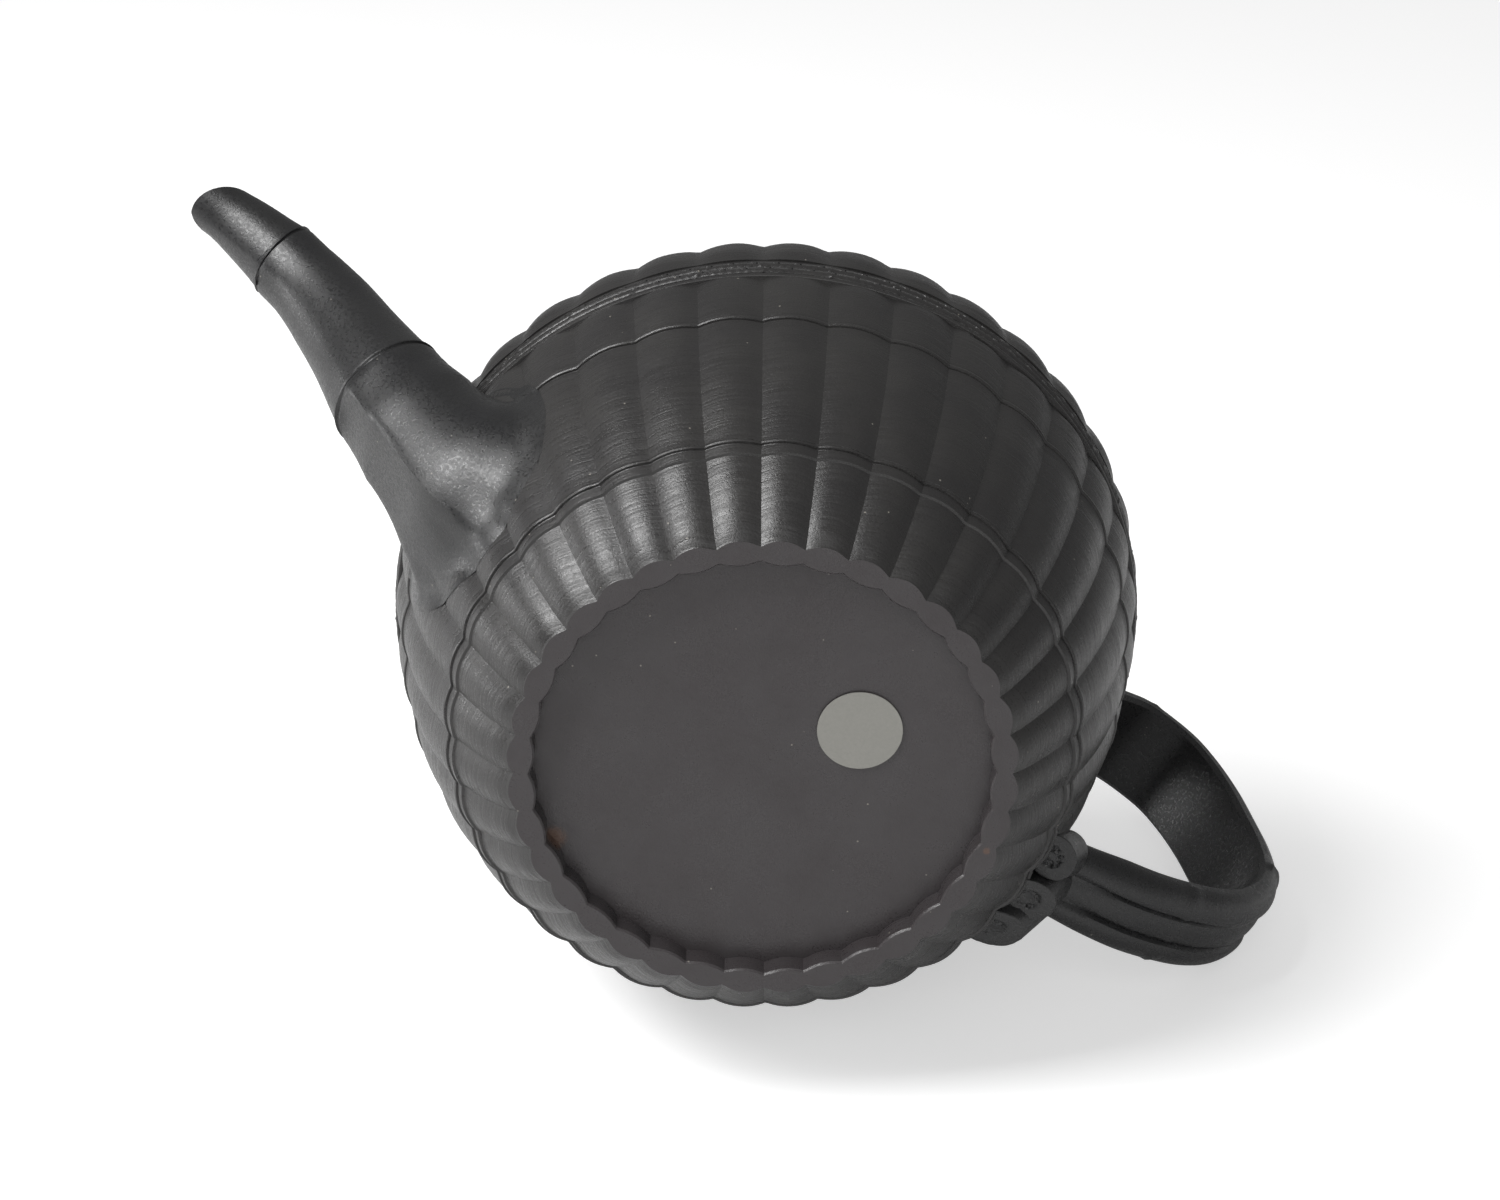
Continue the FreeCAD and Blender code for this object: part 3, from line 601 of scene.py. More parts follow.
    def dress(
        self, finish: bpy.types.Material, body: Body, slot: Slot, nodes: Sequence[str]
    ) -> None:
        """Shade the piece, give it its finish and put it in the place of its nodes.

        Args:
            finish: The material.
            body: The body that it rides on.
            slot: The record's slot that its finish comes from; not used.
            nodes: The CAD nodes that it stands for.
        """
        bpy.ops.object.select_all(action="DESELECT")
        self.object.select_set(True)
        bpy.context.view_layer.objects.active = self.object
        bpy.ops.object.shade_smooth_by_angle(angle=CREASE_ANGLE)
        self.object.data.materials.clear()
        self.object.data.materials.append(finish)
        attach(self.object, body.value)
        if nodes:
            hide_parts(*nodes)
        LOG.info("%s: %d vertices", self.object.name, len(self.object.data.vertices))

    def dress_part(
        self, finish: bpy.types.Material, wanted: Callable[[int, Vector], bool]
    ) -> None:
        """Give the faces between some of the vertices a second finish.

        Args:
            finish: The material.
            wanted: The test on each vertex's number and place.
        """
        self.object.data.materials.append(finish)
        self.object.active_material_index = len(self.object.data.materials) - 1
        self.edit()
        self.choose(wanted)
        bpy.ops.object.material_slot_assign()
        self.leave()


def turn(angle: float, centre: Vector) -> None:
    """Turn the selection about the Y axis through a centre, from Z towards X."""
    # Without a window the operator turns against its angle
    bpy.ops.transform.rotate(value=-angle, orient_axis="Y", center_override=centre)


@dataclass(frozen=True)
class Station:
    """One section of a sweep in the XZ plane."""

    centre: Vector
    tilt: float
    width: float
    depth: float


def sweep(piece: Piece, stations: Sequence[Station]) -> None:
    """Extrude a piece's bare section from its first station through all the others.

    Args:
        piece: A piece that is a closed line in the first station's plane.
        stations: The sections, each as wide along Y and as deep in the XZ plane as it says.
    """
    piece.edit()
    bpy.ops.mesh.select_all(action="SELECT")
    for before, after in zip(stations, stations[1:]):
        step = after.centre - before.centre
        bpy.ops.mesh.extrude_region_move(TRANSFORM_OT_translate={"value": step})
        turn(after.tilt - before.tilt, after.centre)
        deep = after.depth / before.depth
        wide = after.width / before.width
        bpy.ops.transform.resize(value=(deep, wide, deep), center_override=after.centre)
    piece.leave()


def rounded_path(points: Sequence[Vector], parts: int) -> list[Vector]:
    """Draw a smooth curve through points.

    Args:
        points: The points that it passes.
        parts: How many steps lead from each point to the next.

    Returns:
        The points of the curve.
    """
    result = []
    last = len(points) - 1
    for k in range(last):
        a, b, c, d = (points[min(max(k + j, 0), last)] for j in (-1, 0, 1, 2))
        for part in range(parts):
            t = part / parts
            bend = 2 * b + (c - a) * t + (2 * a - 5 * b + 4 * c - d) * t * t
            bend += (3 * b - a - 3 * c + d) * t * t * t
            result.append(bend / 2)
    result.append(points[last])
    return result


def at_share(rows: Sequence[tuple[float, float]], place: float) -> float:
    """Read a value off a line through pairs of place and value.

    Args:
        rows: The pairs, with rising places.
        place: Where to read.

    Returns:
        The value there, or the nearest end's.
    """
    if place <= rows[0][0]:
        return rows[0][1]
    for (low, start), (high, end) in zip(rows, rows[1:]):
        if place <= high:
            return start + (end - start) * (place - low) / (high - low)
    return rows[-1][1]


def ease(share: float) -> float:
    """Return a share of one that starts and ends gently."""
    held = min(max(share, 0.0), 1.0)
    return held * held * (3 - 2 * held)


@dataclass(frozen=True)
class Canes:
    """The canes that stand round the axis side by side."""

    count: int
    phase: float = math.radians(-3.5)

    def across(self, place: Vector) -> float:
        """Return where a point lies across its cane, from 0 to 1."""
        turned = (math.atan2(place.y, place.x) - self.phase) / math.tau * self.count
        return turned - math.floor(turned)

    def swell(self, place: Vector) -> float:
        """Return how far a point has risen to its cane's crest, from 0 to 1."""
        aside = 2 * self.across(place) - 1
        return 1 - aside * aside


# ---------------------------------------------------------------- the pot


@dataclass
class Wall:
    """The moulded wall under the rope band, with its foot rim and two node rings."""

    canes: Canes = Canes(36)
    steps: int = 36 * 12
    foot_radius: float = 46.2 * MM
    low_node: tuple[float, float] = (58.8 * MM, 16.3 * MM)
    high_node: tuple[float, float] = (70.0 * MM, 48.8 * MM)
    belly: tuple[float, float] = (73.0 * MM, 63.5 * MM)
    bows: tuple[float, float, float] = (0.9 * MM, 1.4 * MM, 0.3 * MM)
    swell: float = 1.0 * MM
    thickness: float = 3.6 * MM
    rim_width: float = 3.2 * MM
    rim_facet: float = 0.9 * MM
    rim_scallop: float = 1.25 * MM
    rim_edge: float = 0.35 * MM
    slab_bottom: float = 4.5 * MM
    slab_top: float = 8.5 * MM
    slab_ledge: float = 1.4 * MM
    land_radius: float = 72.4 * MM
    seam_height: float = 67.5 * MM
    parts: int = 9
    unevenness: float = 0.12 * MM
    lump_size: float = 9 * MM
    punch_radius: float = 1.9 * MM
    punch_pitch: float = 7.6 * MM
    punch_height: float = 44.0 * MM
    punch_ring: int = 6
    bead_height: float = 1.0 * MM
    # Height above a node, and how far the surface stands out there: rings cut by a beading tool
    low_bead: tuple[tuple[float, float], ...] = (
        (-3.1 * MM, 0.0), (-2.55 * MM, 0.05 * MM), (-2.3 * MM, 0.46 * MM), (-1.3 * MM, 0.36 * MM),
        (-0.6 * MM, 0.24 * MM), (-0.46 * MM, 0.06 * MM), (-0.32 * MM, 0.08 * MM),
        (-0.2 * MM, 0.52 * MM), (0.12 * MM, 0.56 * MM), (0.28 * MM, 0.14 * MM),
        (0.4 * MM, -0.08 * MM), (0.56 * MM, -0.06 * MM), (0.7 * MM, 0.1 * MM), (1.6 * MM, 0.0),
    )
    high_bead: tuple[tuple[float, float], ...] = (
        (-1.5 * MM, 0.0), (-0.75 * MM, 0.12 * MM), (-0.65 * MM, -0.06 * MM), (-0.45 * MM, -0.08 * MM),
        (-0.35 * MM, 0.34 * MM), (0.0, 0.50 * MM), (0.5 * MM, 0.42 * MM), (0.85 * MM, 0.2 * MM),
        (0.95 * MM, -0.08 * MM), (1.15 * MM, -0.05 * MM), (1.4 * MM, 0.0),
    )

    def spans(self) -> list[tuple[tuple[float, float], tuple[float, float], float]]:
        """Return the spans of the wall: lower and upper end, each a radius and a height, and bow."""
        ends = [(self.foot_radius, 0.0), self.low_node, self.high_node, self.belly]
        return list(zip(ends, ends[1:], self.bows))

    def radius(self, height: float) -> float:
        """Return the groove radius at a height."""
        for (start, low), (end, high), bow in self.spans():
            if height <= high:
                t = (height - low) / (high - low)
                return start + (end - start) * t + 4 * bow * t * (1 - t)
        return self.belly[0]

    def outside(self) -> Profile:
        """Return the outside's profile from the foot up to the band."""
        heights = []
        for (_start, low), (_end, high), _bow in self.spans():
            heights += [low + (high - low) * k / self.parts for k in range(self.parts)]
        heights = [height for height in heights if height > self.rim_edge]
        for node, bead in self.beads():
            low, high = node + bead[0][0], node + bead[-1][0]
            heights = [height for height in heights if not low <= height <= high]
            heights += [node + rise for rise, _out in bead]
        heights.append(self.belly[1])
        return [(self.radius(height), height) for height in sorted(heights)]

    def beads(self) -> list[tuple[float, Profile]]:
        """Return the height of each node and the bead cut round it."""
        return [(self.low_node[1], self.low_bead), (self.high_node[1], self.high_bead)]

    def bead_out(self, height: float) -> float:
        """Return how far the beads stand out at a height."""
        return sum(at_share(bead, height - node) for node, bead in self.beads())

    def inside(self) -> Profile:
        """Return the inside's profile from the seam down to the foot rim."""
        top = self.belly[0] - self.thickness
        rows = [(self.land_radius, self.belly[1]), (self.land_radius, self.seam_height)]
        rows += [(top, self.seam_height), (top, self.belly[1])]
        for share in (0.8, 0.6, 0.4, 0.2, 0.08, 0.0):
            height = self.slab_top + (self.belly[1] - self.slab_top) * share
            rows.append((self.radius(height) - self.thickness, height))
        inner = self.foot_radius - self.rim_width
        seat = inner + self.slab_ledge
        rows += [(seat, self.slab_top), (seat, self.slab_bottom), (inner, self.slab_bottom)]
        rows += [(inner, self.slab_bottom / 2), (inner, self.rim_edge)]
        rows += [(inner + self.rim_edge, 0.0), (self.foot_radius - self.rim_edge, 0.0)]
        rows += [(self.foot_radius, self.rim_edge)]
        return rows

    def build(self, finish: bpy.types.Material, turned: bpy.types.Material) -> Piece:
        """Build the wall.

        Args:
            finish: Its material.
            turned: The material of the foot rim's flat and of the recess inside it, paler than the wall:
                on the recess wall that paleness is painted light where the lamps leave shade.

        Returns:
            The wall.
        """
        wall = Piece.turned("lower_wall_moulded", self.outside() + self.inside(), self.steps)
        inner = self.foot_radius - self.rim_width
        outer_reach = self.foot_radius + self.rim_scallop
        inner_reach = inner - self.rim_facet

        def on_canes(_index: int, place: Vector) -> float:
            radius = math.hypot(place.x, place.y)
            outside = radius > self.radius(place.z) - self.thickness / 2
            shown = outside and self.rim_edge * 2 < place.z <= self.belly[1]
            return self.canes.swell(place) if shown else 0.0

        def on_rim(_index: int, place: Vector) -> float:
            radius = math.hypot(place.x, place.y)
            if place.z > self.rim_edge * 2 or radius < self.foot_radius - self.rim_edge * 2:
                return 0.0
            return self.canes.swell(place) * self.rim_scallop / (outer_reach - radius)

        def in_rim(_index: int, place: Vector) -> float:
            radius = math.hypot(place.x, place.y)
            if place.z > self.slab_bottom + MM or not inner - MM < radius < inner + self.rim_edge * 2:
                return 0.0
            return self.canes.swell(place) * self.rim_facet / (radius - inner_reach)

        def on_bead(_index: int, place: Vector, sign: float) -> float:
            outside = math.hypot(place.x, place.y) > self.radius(place.z) - self.thickness / 2
            return sign * self.bead_out(place.z) / self.bead_height if outside else 0.0

        wall.weigh("canes", on_canes)
        wall.weigh("rim_scallops", on_rim)
        wall.weigh("rim_facets", in_rim)
        wall.weigh("ridges", lambda index, place: on_bead(index, place, 1.0))
        wall.weigh("grooves", lambda index, place: on_bead(index, place, -1.0))
        wall.press("canes", self.swell)
        wall.roughen("hand_pressing", self.unevenness, self.lump_size, "canes")
        wall.press("ridges", self.bead_height)
        wall.press("grooves", -self.bead_height)
        wall.draw_round("rim_scallops", outer_reach)
        wall.draw_round("rim_facets", inner_reach)
        wall.pierce(self.punches())
        wall.dress(finish, Body.POT, Slot.STONE, ["lower_wall"])
        # Paler turned stoneware on the rim's flat and the recess wall: painted light in a recess that the
        # lamps leave in shade
        wall.dress_part(
            turned, lambda _index, place: place.z < MM / 10
            or place.z < self.slab_bottom + MM / 10
            and math.hypot(place.x, place.y) < inner + self.rim_edge / 2
        )
        return wall

    def punches(self) -> list[Piece]:
        """Return the punches of the strainer holes behind the spout."""
        places = [(0.0, 0.0)]
        for k in range(self.punch_ring):
            angle = math.tau * k / self.punch_ring
            places.append((self.punch_pitch * math.cos(angle), self.punch_pitch * math.sin(angle)))
        rods = []
        for across, up in places:
            start = Vector((-self.land_radius + 4 * self.thickness, across, self.punch_height + up))
            end = start - Vector((5 * self.thickness, 0, 0))
            rods.append(Piece.rod("strainer_punch", self.punch_radius, 16, start, end))
        return rods


@dataclass
class Foot:
    """The base slab inside the foot rim, with its round label."""

    radius: float = 44.4 * MM
    bottom: float = 4.5 * MM
    top: float = 8.5 * MM
    dish: float = 0.35 * MM
    rings: int = 24
    steps: int = 192
    unevenness: float = 0.28 * MM
    lump_size: float = 16 * MM
    label_centre: tuple[float, float] = (11.3 * MM, -15.4 * MM)
    label_radius: float = 7.9 * MM
    label_thickness: float = 0.2 * MM
    label_border: float = 0.45 * MM

    def build_slab(self, finish: bpy.types.Material) -> Piece:
        """Build the slab, a little dished and uneven.

        Args:
            finish: Its material.

        Returns:
            The slab.
        """
        profile = [(0.0, self.bottom)]
        profile += [(self.radius * k / self.rings, self.bottom) for k in range(1, self.rings + 1)]
        profile += [(self.radius, self.top), (0.0, self.top)]
        slab = Piece.turned("base_slab_turned", profile, self.steps, closed=False)

        def inward(_index: int, place: Vector) -> float:
            share = math.hypot(place.x, place.y) / self.radius
            return 1 - share ** 2 if place.z < (self.bottom + self.top) / 2 else 0.0

        slab.weigh("dish", inward)
        slab.press("dish", -self.dish)
        slab.roughen("slab_unevenness", self.unevenness, self.lump_size, "dish")
        slab.dress(finish, Body.POT, Slot.STONE, ["base_slab"])
        return slab

    def build_label(self, finish: bpy.types.Material, carrier: Piece) -> Piece:
        """Build the blank round label, laid on the slab.

        Args:
            finish: Its material.
            carrier: The slab that it is laid on; not used.

        Returns:
            The label.
        """
        bpy.ops.object.select_all(action="DESELECT")
        across, along = self.label_centre
        low = self.bottom - self.label_thickness
        bpy.ops.mesh.primitive_circle_add(
            vertices=72, radius=self.label_radius, fill_type="NGON", location=(across, along, low)
        )
        label = Piece("blank_round_label")
        label.edit()
        bpy.ops.mesh.select_all(action="SELECT")
        bpy.ops.mesh.extrude_region_move(
            TRANSFORM_OT_translate={"value": (0, 0, self.label_thickness)}
        )
        label.choose(lambda _index, place: place.z < low + self.label_thickness / 2)
        bpy.ops.mesh.select_mode(type="FACE")
        bpy.ops.mesh.inset(thickness=self.label_border)
        label.leave()
        label.heal()
        label.dress(finish, Body.POT, Slot.LABEL, ["paper_label"])
        return label


@dataclass
class RopeBand:
    """Two strands of twisted rope between plain fillets, laid round the belly."""

    seat: float = 72.4 * MM
    bottom: float = 63.5 * MM
    fillet_height: float = 1.2 * MM
    fillet_swell: float = 1.6 * MM
    strand_height: float = 2.5 * MM
    strand_swell: float = 2.0 * MM
    joint: float = 0.2 * MM
    nose: float = 0.26
    fillet_steps: int = 432
    strand_steps: int = 1440
    strand_parts: int = 10
    canes: Canes = Canes(36)
    lays: int = 288
    lay_depth: float = 0.05 * MM
    slot_depth: float = 1.0 * MM
    dashes: int = 3
    dash_share: float = 0.78
    tie_share: float = 0.08
    tie_height: float = 0.1 * MM
    crumb_height: float = 0.6 * MM
    crumb_size: float = 0.5 * MM
    wear_height: float = 0.16 * MM
    wear_size: float = 3.0 * MM

    def bead(self, low: float, height: float, swell: float, parts: int) -> Profile:
        """Return a bead's profile: a flat back, straight sides and a rounded front."""
        nose = height * self.nose
        side = self.seat + swell - nose
        rows = [(self.seat, low + height), (self.seat, low), (side, low)]
        for k in range(1, parts):
            angle = math.pi * k / parts
            rows.append((side + nose * math.sin(angle), low + height * (1 - math.cos(angle)) / 2))
        rows.append((side, low + height))
        return rows

    def fillet(self, name: str, low: float, node: str, finish: bpy.types.Material) -> Piece:
        """Build one plain fillet."""
        ring = Piece.turned(
            name, self.bead(low, self.fillet_height, self.fillet_swell, 6), self.fillet_steps
        )
        ring.dress(finish, Body.POT, Slot.STONE, [node])
        return ring

    def strand(
        self, name: str, low: float, lean: float, node: str, finish: bpy.types.Material
    ) -> Piece:
        """Build one strand of rope with its lays twisted one way.

        Args:
            name: The piece's name.
            low: The height of its lower side.
            lean: Which way and how far the lays lean, in lays over its height.
            node: The CAD node that it stands for.
            finish: Its material.

        Returns:
            The strand.
        """
        profile = self.bead(low, self.strand_height, self.strand_swell, self.strand_parts)
        ring = Piece.turned(name, profile, self.strand_steps)

        def front(_index: int, place: Vector) -> float:
            return float(math.hypot(place.x, place.y) > self.seat + self.strand_swell / 4)

        def at_tie(_index: int, place: Vector) -> float:
            aside = min(self.canes.across(place), 1 - self.canes.across(place))
            return front(0, place) * ease(1 - aside / self.tie_share)

        def between_lays(_index: int, place: Vector) -> float:
            up = (place.z - low) / self.strand_height
            turned = math.atan2(place.y, place.x) / math.tau * self.lays + lean * up
            aside = abs(2 * (turned - math.floor(turned)) - 1)
            return front(0, place) * aside ** 2

        def in_slot(_index: int, place: Vector) -> float:
            aside = abs(2 * (place.z - low) / self.strand_height - 1)
            dash = self.canes.across(place) * self.dashes + lean
            drawn = dash - math.floor(dash) < self.dash_share
            return front(0, place) * float(drawn and aside < 1 / self.strand_parts)

        ring.weigh("lays", between_lays)
        ring.weigh("slot", in_slot)
        ring.weigh("ties", at_tie)
        ring.weigh("front", front)
        ring.press("lays", -self.lay_depth)
        ring.press("slot", -self.slot_depth)
        ring.press("ties", self.tie_height)
        ring.roughen("crumbs", self.crumb_height, self.crumb_size, "ties")
        ring.roughen("wear", self.wear_height, self.wear_size, "front")
        ring.dress(finish, Body.POT, Slot.STONE, [node])
        return ring

    def build(self, finish: bpy.types.Material) -> list[Piece]:
        """Build the whole band.

        Args:
            finish: Its material.

        Returns:
            Its four rings.
        """
        low = self.bottom
        rings = [self.fillet("lower_fillet", low, "band_fillet_lower", finish)]
        low += self.fillet_height + self.joint
        rings.append(self.strand("lower_rope", low, 0.7, "rope_strand_lower", finish))
        low += self.strand_height + self.joint
        rings.append(self.strand("upper_rope", low, -0.7, "rope_strand_upper", finish))
        low += self.strand_height + self.joint
        rings.append(self.fillet("upper_fillet", low, "band_fillet_upper", finish))
        return rings


@dataclass
class Shoulder:
    """The moulded shoulder above the band, and the mouth."""

    canes: Canes = Canes(36)
    steps: int = 36 * 12
    outer: float = 74.0 * MM
    neck: float = 46.5 * MM
    mouth: float = 39.5 * MM
    bottom: float = 71.5 * MM
    top: float = 98.5 * MM
    power: float = 2.4
    swell: float = 1.0 * MM
    thickness: float = 3.6 * MM
    seam: float = 67.5 * MM
    land: float = 72.4 * MM
    inner: float = 69.4 * MM
    parts: int = 26
    edge_rise: float = 2.5 * MM
    lip_edge: float = 0.4 * MM
    unevenness: float = 0.25 * MM
    lump_size: float = 9 * MM
    bead_height: float = 1.0 * MM
    # Share of the curve, and how far the surface stands out there: one node ring on the shoulder
    bead: tuple[tuple[float, float], ...] = (
        (0.585, 0.0), (0.592, -0.12 * MM), (0.598, 0.3 * MM), (0.606, 0.42 * MM),
        (0.614, 0.3 * MM), (0.620, -0.12 * MM), (0.627, 0.0),
    )

    def curve(self, share: float, outer: float, inner: float, top: float) -> tuple[float, float]:
        """Return radius and height at a share of the shoulder's squared quarter round."""
        angle = math.pi / 2 * share
        power = 2 / self.power
        radius = inner + (outer - inner) * max(math.cos(angle), 0.0) ** power
        return radius, self.bottom + (top - self.bottom) * math.sin(angle) ** power

    def build(self, finish: bpy.types.Material) -> Piece:
        """Build the shoulder.

        Args:
            finish: Its material.

        Returns:
            The shoulder.
        """
        shares = [k / self.parts for k in range(self.parts + 1)]
        low, high = self.bead[0][0], self.bead[-1][0]
        shares = [share for share in shares if not low <= share <= high]
        shares = sorted(shares + [share for share, _out in self.bead])
        profile = [(self.land, self.seam), (self.land, self.bottom)]
        profile += [self.curve(share, self.outer, self.neck, self.top) for share in shares]
        profile += [(self.mouth + self.lip_edge, self.top), (self.mouth, self.top - self.lip_edge)]
        under = self.top - self.thickness
        profile += [
            self.curve(1 - k / 10, self.inner, self.mouth, under) for k in range(11)
        ]
        profile += [(self.inner, self.seam)]
        shell = Piece.turned("shoulder_moulded", profile, self.steps)

        def on_canes(_index: int, place: Vector) -> float:
            radius = math.hypot(place.x, place.y)
            if place.z < self.bottom - MM / 10:
                return 0.0
            share = max(radius - self.neck, 0.0) / (self.outer - self.neck)
            arc = 1 - min(share, 1.0) ** self.power
            crest = self.bottom + (self.top - self.bottom) * arc ** (1 / self.power)
            shown = radius > self.neck - MM / 10 and place.z > crest - self.thickness / 2
            full = ease((place.z - self.bottom + self.edge_rise) / (2 * self.edge_rise))
            return self.canes.swell(place) * full * radius / self.outer if shown else 0.0

        def on_bead(_index: int, place: Vector, sign: float) -> float:
            if not on_canes(0, place):
                return 0.0
            rise = (place.z - self.bottom) / (self.top - self.bottom)
            angle = math.asin(min(max(rise, 0.0), 1.0) ** (self.power / 2))
            return sign * at_share(self.bead, angle / (math.pi / 2)) / self.bead_height

        shell.weigh("canes", on_canes)
        shell.weigh("ridges", lambda index, place: on_bead(index, place, 1.0))
        shell.weigh("grooves", lambda index, place: on_bead(index, place, -1.0))
        shell.press("canes", self.swell)
        shell.roughen("hand_pressing", self.unevenness, self.lump_size, "canes")
        shell.press("ridges", self.bead_height)
        shell.press("grooves", -self.bead_height)
        shell.dress(finish, Body.POT, Slot.STONE, ["shoulder_wall"])
        return shell


@dataclass
class Spout:
    """The spout: a cane with two nodes whose root spreads onto the wall."""

    start: tuple[float, float] = (58.0 * MM, 36.0 * MM)
    mouth: tuple[float, float] = (131.4 * MM, 105.6 * MM)
    root_half: float = 19.5 * MM
    depth_share: float = 0.86
    wall: float = 1.8 * MM
    mouth_tilt: float = math.radians(60)
    sides: int = 96
    skirt_centre: tuple[float, float] = (67.6 * MM, 42.5 * MM)
    skirt_tilt: float = math.radians(-17)
    skirt_width: float = 25.0 * MM
    skirt_depth: float = 21.5 * MM
    skirt_parts: int = 16
    skirt_pull: float = 17.0 * MM
    skirt_offset: float = 0.02 * MM
    skirt_free: float = 0.45
    # Share of the reach, of the rise and of the root's half width, from the first node out
    shares: tuple[tuple[float, float, float], ...] = (
        (0.300, 0.316, 0.728), (0.381, 0.407, 0.651), (0.436, 0.477, 0.612), (0.517, 0.601, 0.544),
        (0.604, 0.723, 0.497), (0.687, 0.816, 0.451), (0.769, 0.886, 0.418), (0.828, 0.924, 0.392),
        (0.925, 0.972, 0.344), (1.000, 1.000, 0.303), (1.110, 1.036, 0.295),
    )
    node_places: tuple[float, float] = (0.408, 0.796)
    # Distance from a node along the cane, and the change of the half width there
    node_shape: tuple[tuple[float, float], ...] = (
        (-6.0 * MM, 0.0), (-2.5 * MM, 0.22 * MM), (-1.0 * MM, 0.36 * MM), (-0.5 * MM, 0.34 * MM),
        (-0.2 * MM, 0.12 * MM), (0.0, 0.02 * MM), (0.15 * MM, 0.12 * MM), (0.35 * MM, 0.5 * MM),
        (0.6 * MM, 0.52 * MM), (0.85 * MM, 0.22 * MM), (1.6 * MM, 0.15 * MM), (4.5 * MM, 0.0),
    )
    # The seam of the two-part mould: the near side stands proud of it as an arris
    arris_height: float = 2.6 * MM
    arris_spread: float = math.radians(75)
    # Share of its spread, and the arris's height there: a nearly flat face beside the seam
    arris_rise: tuple[tuple[float, float], ...] = (
        (0.0, 1.0), (0.15, 0.74), (0.3, 0.5), (0.5, 0.25), (0.75, 0.07), (1.0, 0.0),
    )
    # The far side of the seam is pressed nearly flat
    seam_depth: float = 3.1 * MM
    seam_spread: float = math.radians(70)
    # Distance of the section from the pot's axis, and the seam's turn from the underside there
    arris_turns: tuple[tuple[float, float], ...] = (
        (69.0 * MM, math.radians(3)), (79.0 * MM, math.radians(6)), (88.0 * MM, math.radians(1)),
        (117.0 * MM, math.radians(-5)), (134.0 * MM, math.radians(-24)),
    )
    # Distance of the section from the pot's axis, and the arris's share of its height there
    arris_shares: tuple[tuple[float, float], ...] = (
        (66.0 * MM, 0.0), (68.0 * MM, 0.3), (70.5 * MM, 0.75), (74.0 * MM, 1.0), (86.9 * MM, 0.9),
        (88.2 * MM, 0.12), (104.0 * MM, 0.05), (112.0 * MM, 0.25), (116.0 * MM, 0.3),
        (117.4 * MM, 0.62), (126.0 * MM, 0.55), (133.0 * MM, 0.35),
    )
    unevenness: float = 0.2 * MM
    lump_size: float = 9 * MM
    calm_reach: float = 14 * MM

    def middle(self) -> list[Station]:
        """Return the stations from before the first node to past the mouth."""
        rise = self.mouth[1] - self.start[1]
        reach = self.mouth[0] - self.start[0]
        knots = [
            Vector((self.start[0] + reach * out, self.root_half * half, self.start[1] + rise * up))
            for out, up, half in self.shares
        ]
        fine = rounded_path(knots, 24)
        return self.thinned(fine)

    def thinned(self, fine: Sequence[Vector]) -> list[Station]:
        """Pick stations off a fine path, close together at the nodes.

        Args:
            fine: Points whose x is the reach, y the half width and z the height.

        Returns:
            The stations, with the nodes' ridges and grooves.
        """
        reach = self.mouth[0] - self.start[0]
        run = [0.0]
        for a, b in zip(fine, fine[1:]):
            run.append(run[-1] + math.hypot(b.x - a.x, b.z - a.z))
        marks = []
        for share in self.node_places:
            place = self.start[0] + reach * share
            marks.append(at_share([(p.x, s) for p, s in zip(fine, run)], place))
        wanted = [run[-1] * k / 44 for k in range(45)]
        for mark in marks:
            low, high = mark + self.node_shape[0][0], mark + self.node_shape[-1][0]
            wanted = [s for s in wanted if not low <= s <= high]
            wanted += [mark + rise for rise, _swell in self.node_shape]
        stations = []
        for s in sorted(wanted):
            x, half, z = (at_share(list(zip(run, (p[k] for p in fine))), s) for k in (0, 1, 2))
            ahead = [at_share(list(zip(run, (p[k] for p in fine))), s + MM) for k in (0, 2)]
            behind = [at_share(list(zip(run, (p[k] for p in fine))), s - MM) for k in (0, 2)]
            tilt = math.atan2(ahead[1] - behind[1], ahead[0] - behind[0])
            swell = sum(at_share(self.node_shape, s - mark) for mark in marks)
            width = half + swell
            stations.append(
                Station(Vector((-x, 0, z)), tilt, width, half * self.depth_share + swell)
            )
        return stations

    def root(self, first: Station) -> list[Station]:
        """Return the stations that fan from a first section down onto the wall.

        Args:
            first: The section that they leave from.

        Returns:
            The stations, the last of them flat on the wall.
        """
        end = Vector((-self.skirt_centre[0], 0, self.skirt_centre[1]))
        back = Vector((math.cos(first.tilt), 0, -math.sin(first.tilt)))
        pull = first.centre + back * self.skirt_pull
        stations = []
        for k in range(1, self.skirt_parts + 1):
            t = k / self.skirt_parts
            centre = first.centre * (1 - t) ** 2 + pull * 2 * t * (1 - t) + end * t * t
            tilt = first.tilt + (self.skirt_tilt - first.tilt) * t
            flare = t ** 1.7
            width = first.width + (self.skirt_width - first.width) * flare
            depth = first.depth + (self.skirt_depth - first.depth) * flare
            stations.append(Station(centre, tilt, width, depth))
        return stations

    def ring(self, name: str, first: Station) -> Piece:
        """Draw the first section's oval."""
        bpy.ops.object.select_all(action="DESELECT")
        bpy.ops.mesh.primitive_circle_add(
            vertices=self.sides, radius=first.depth, location=first.centre,
            rotation=(0, first.tilt - math.pi / 2, 0),
        )
        piece = Piece(name)
        piece.edit()
        bpy.ops.mesh.select_all(action="SELECT")
        bpy.ops.transform.resize(
            value=(1, first.width / first.depth, 1), center_override=first.centre
        )
        piece.leave()
        return piece

    def build(self, finish: bpy.types.Material, wall: Piece) -> Piece:
        """Build the spout.

        Args:
            finish: Its material.
            wall: The wall that its root is laid on.

        Returns:
            The spout.
        """
        outward = list(reversed(self.middle()))
        rings = outward + self.root(outward[-1])
        first_skirt = len(outward)

        def on_skirt(index: int, _place: Vector) -> float:
            t = (index // self.sides - first_skirt + 1) / self.skirt_parts
            return ease((t - self.skirt_free) / (1 - self.skirt_free))

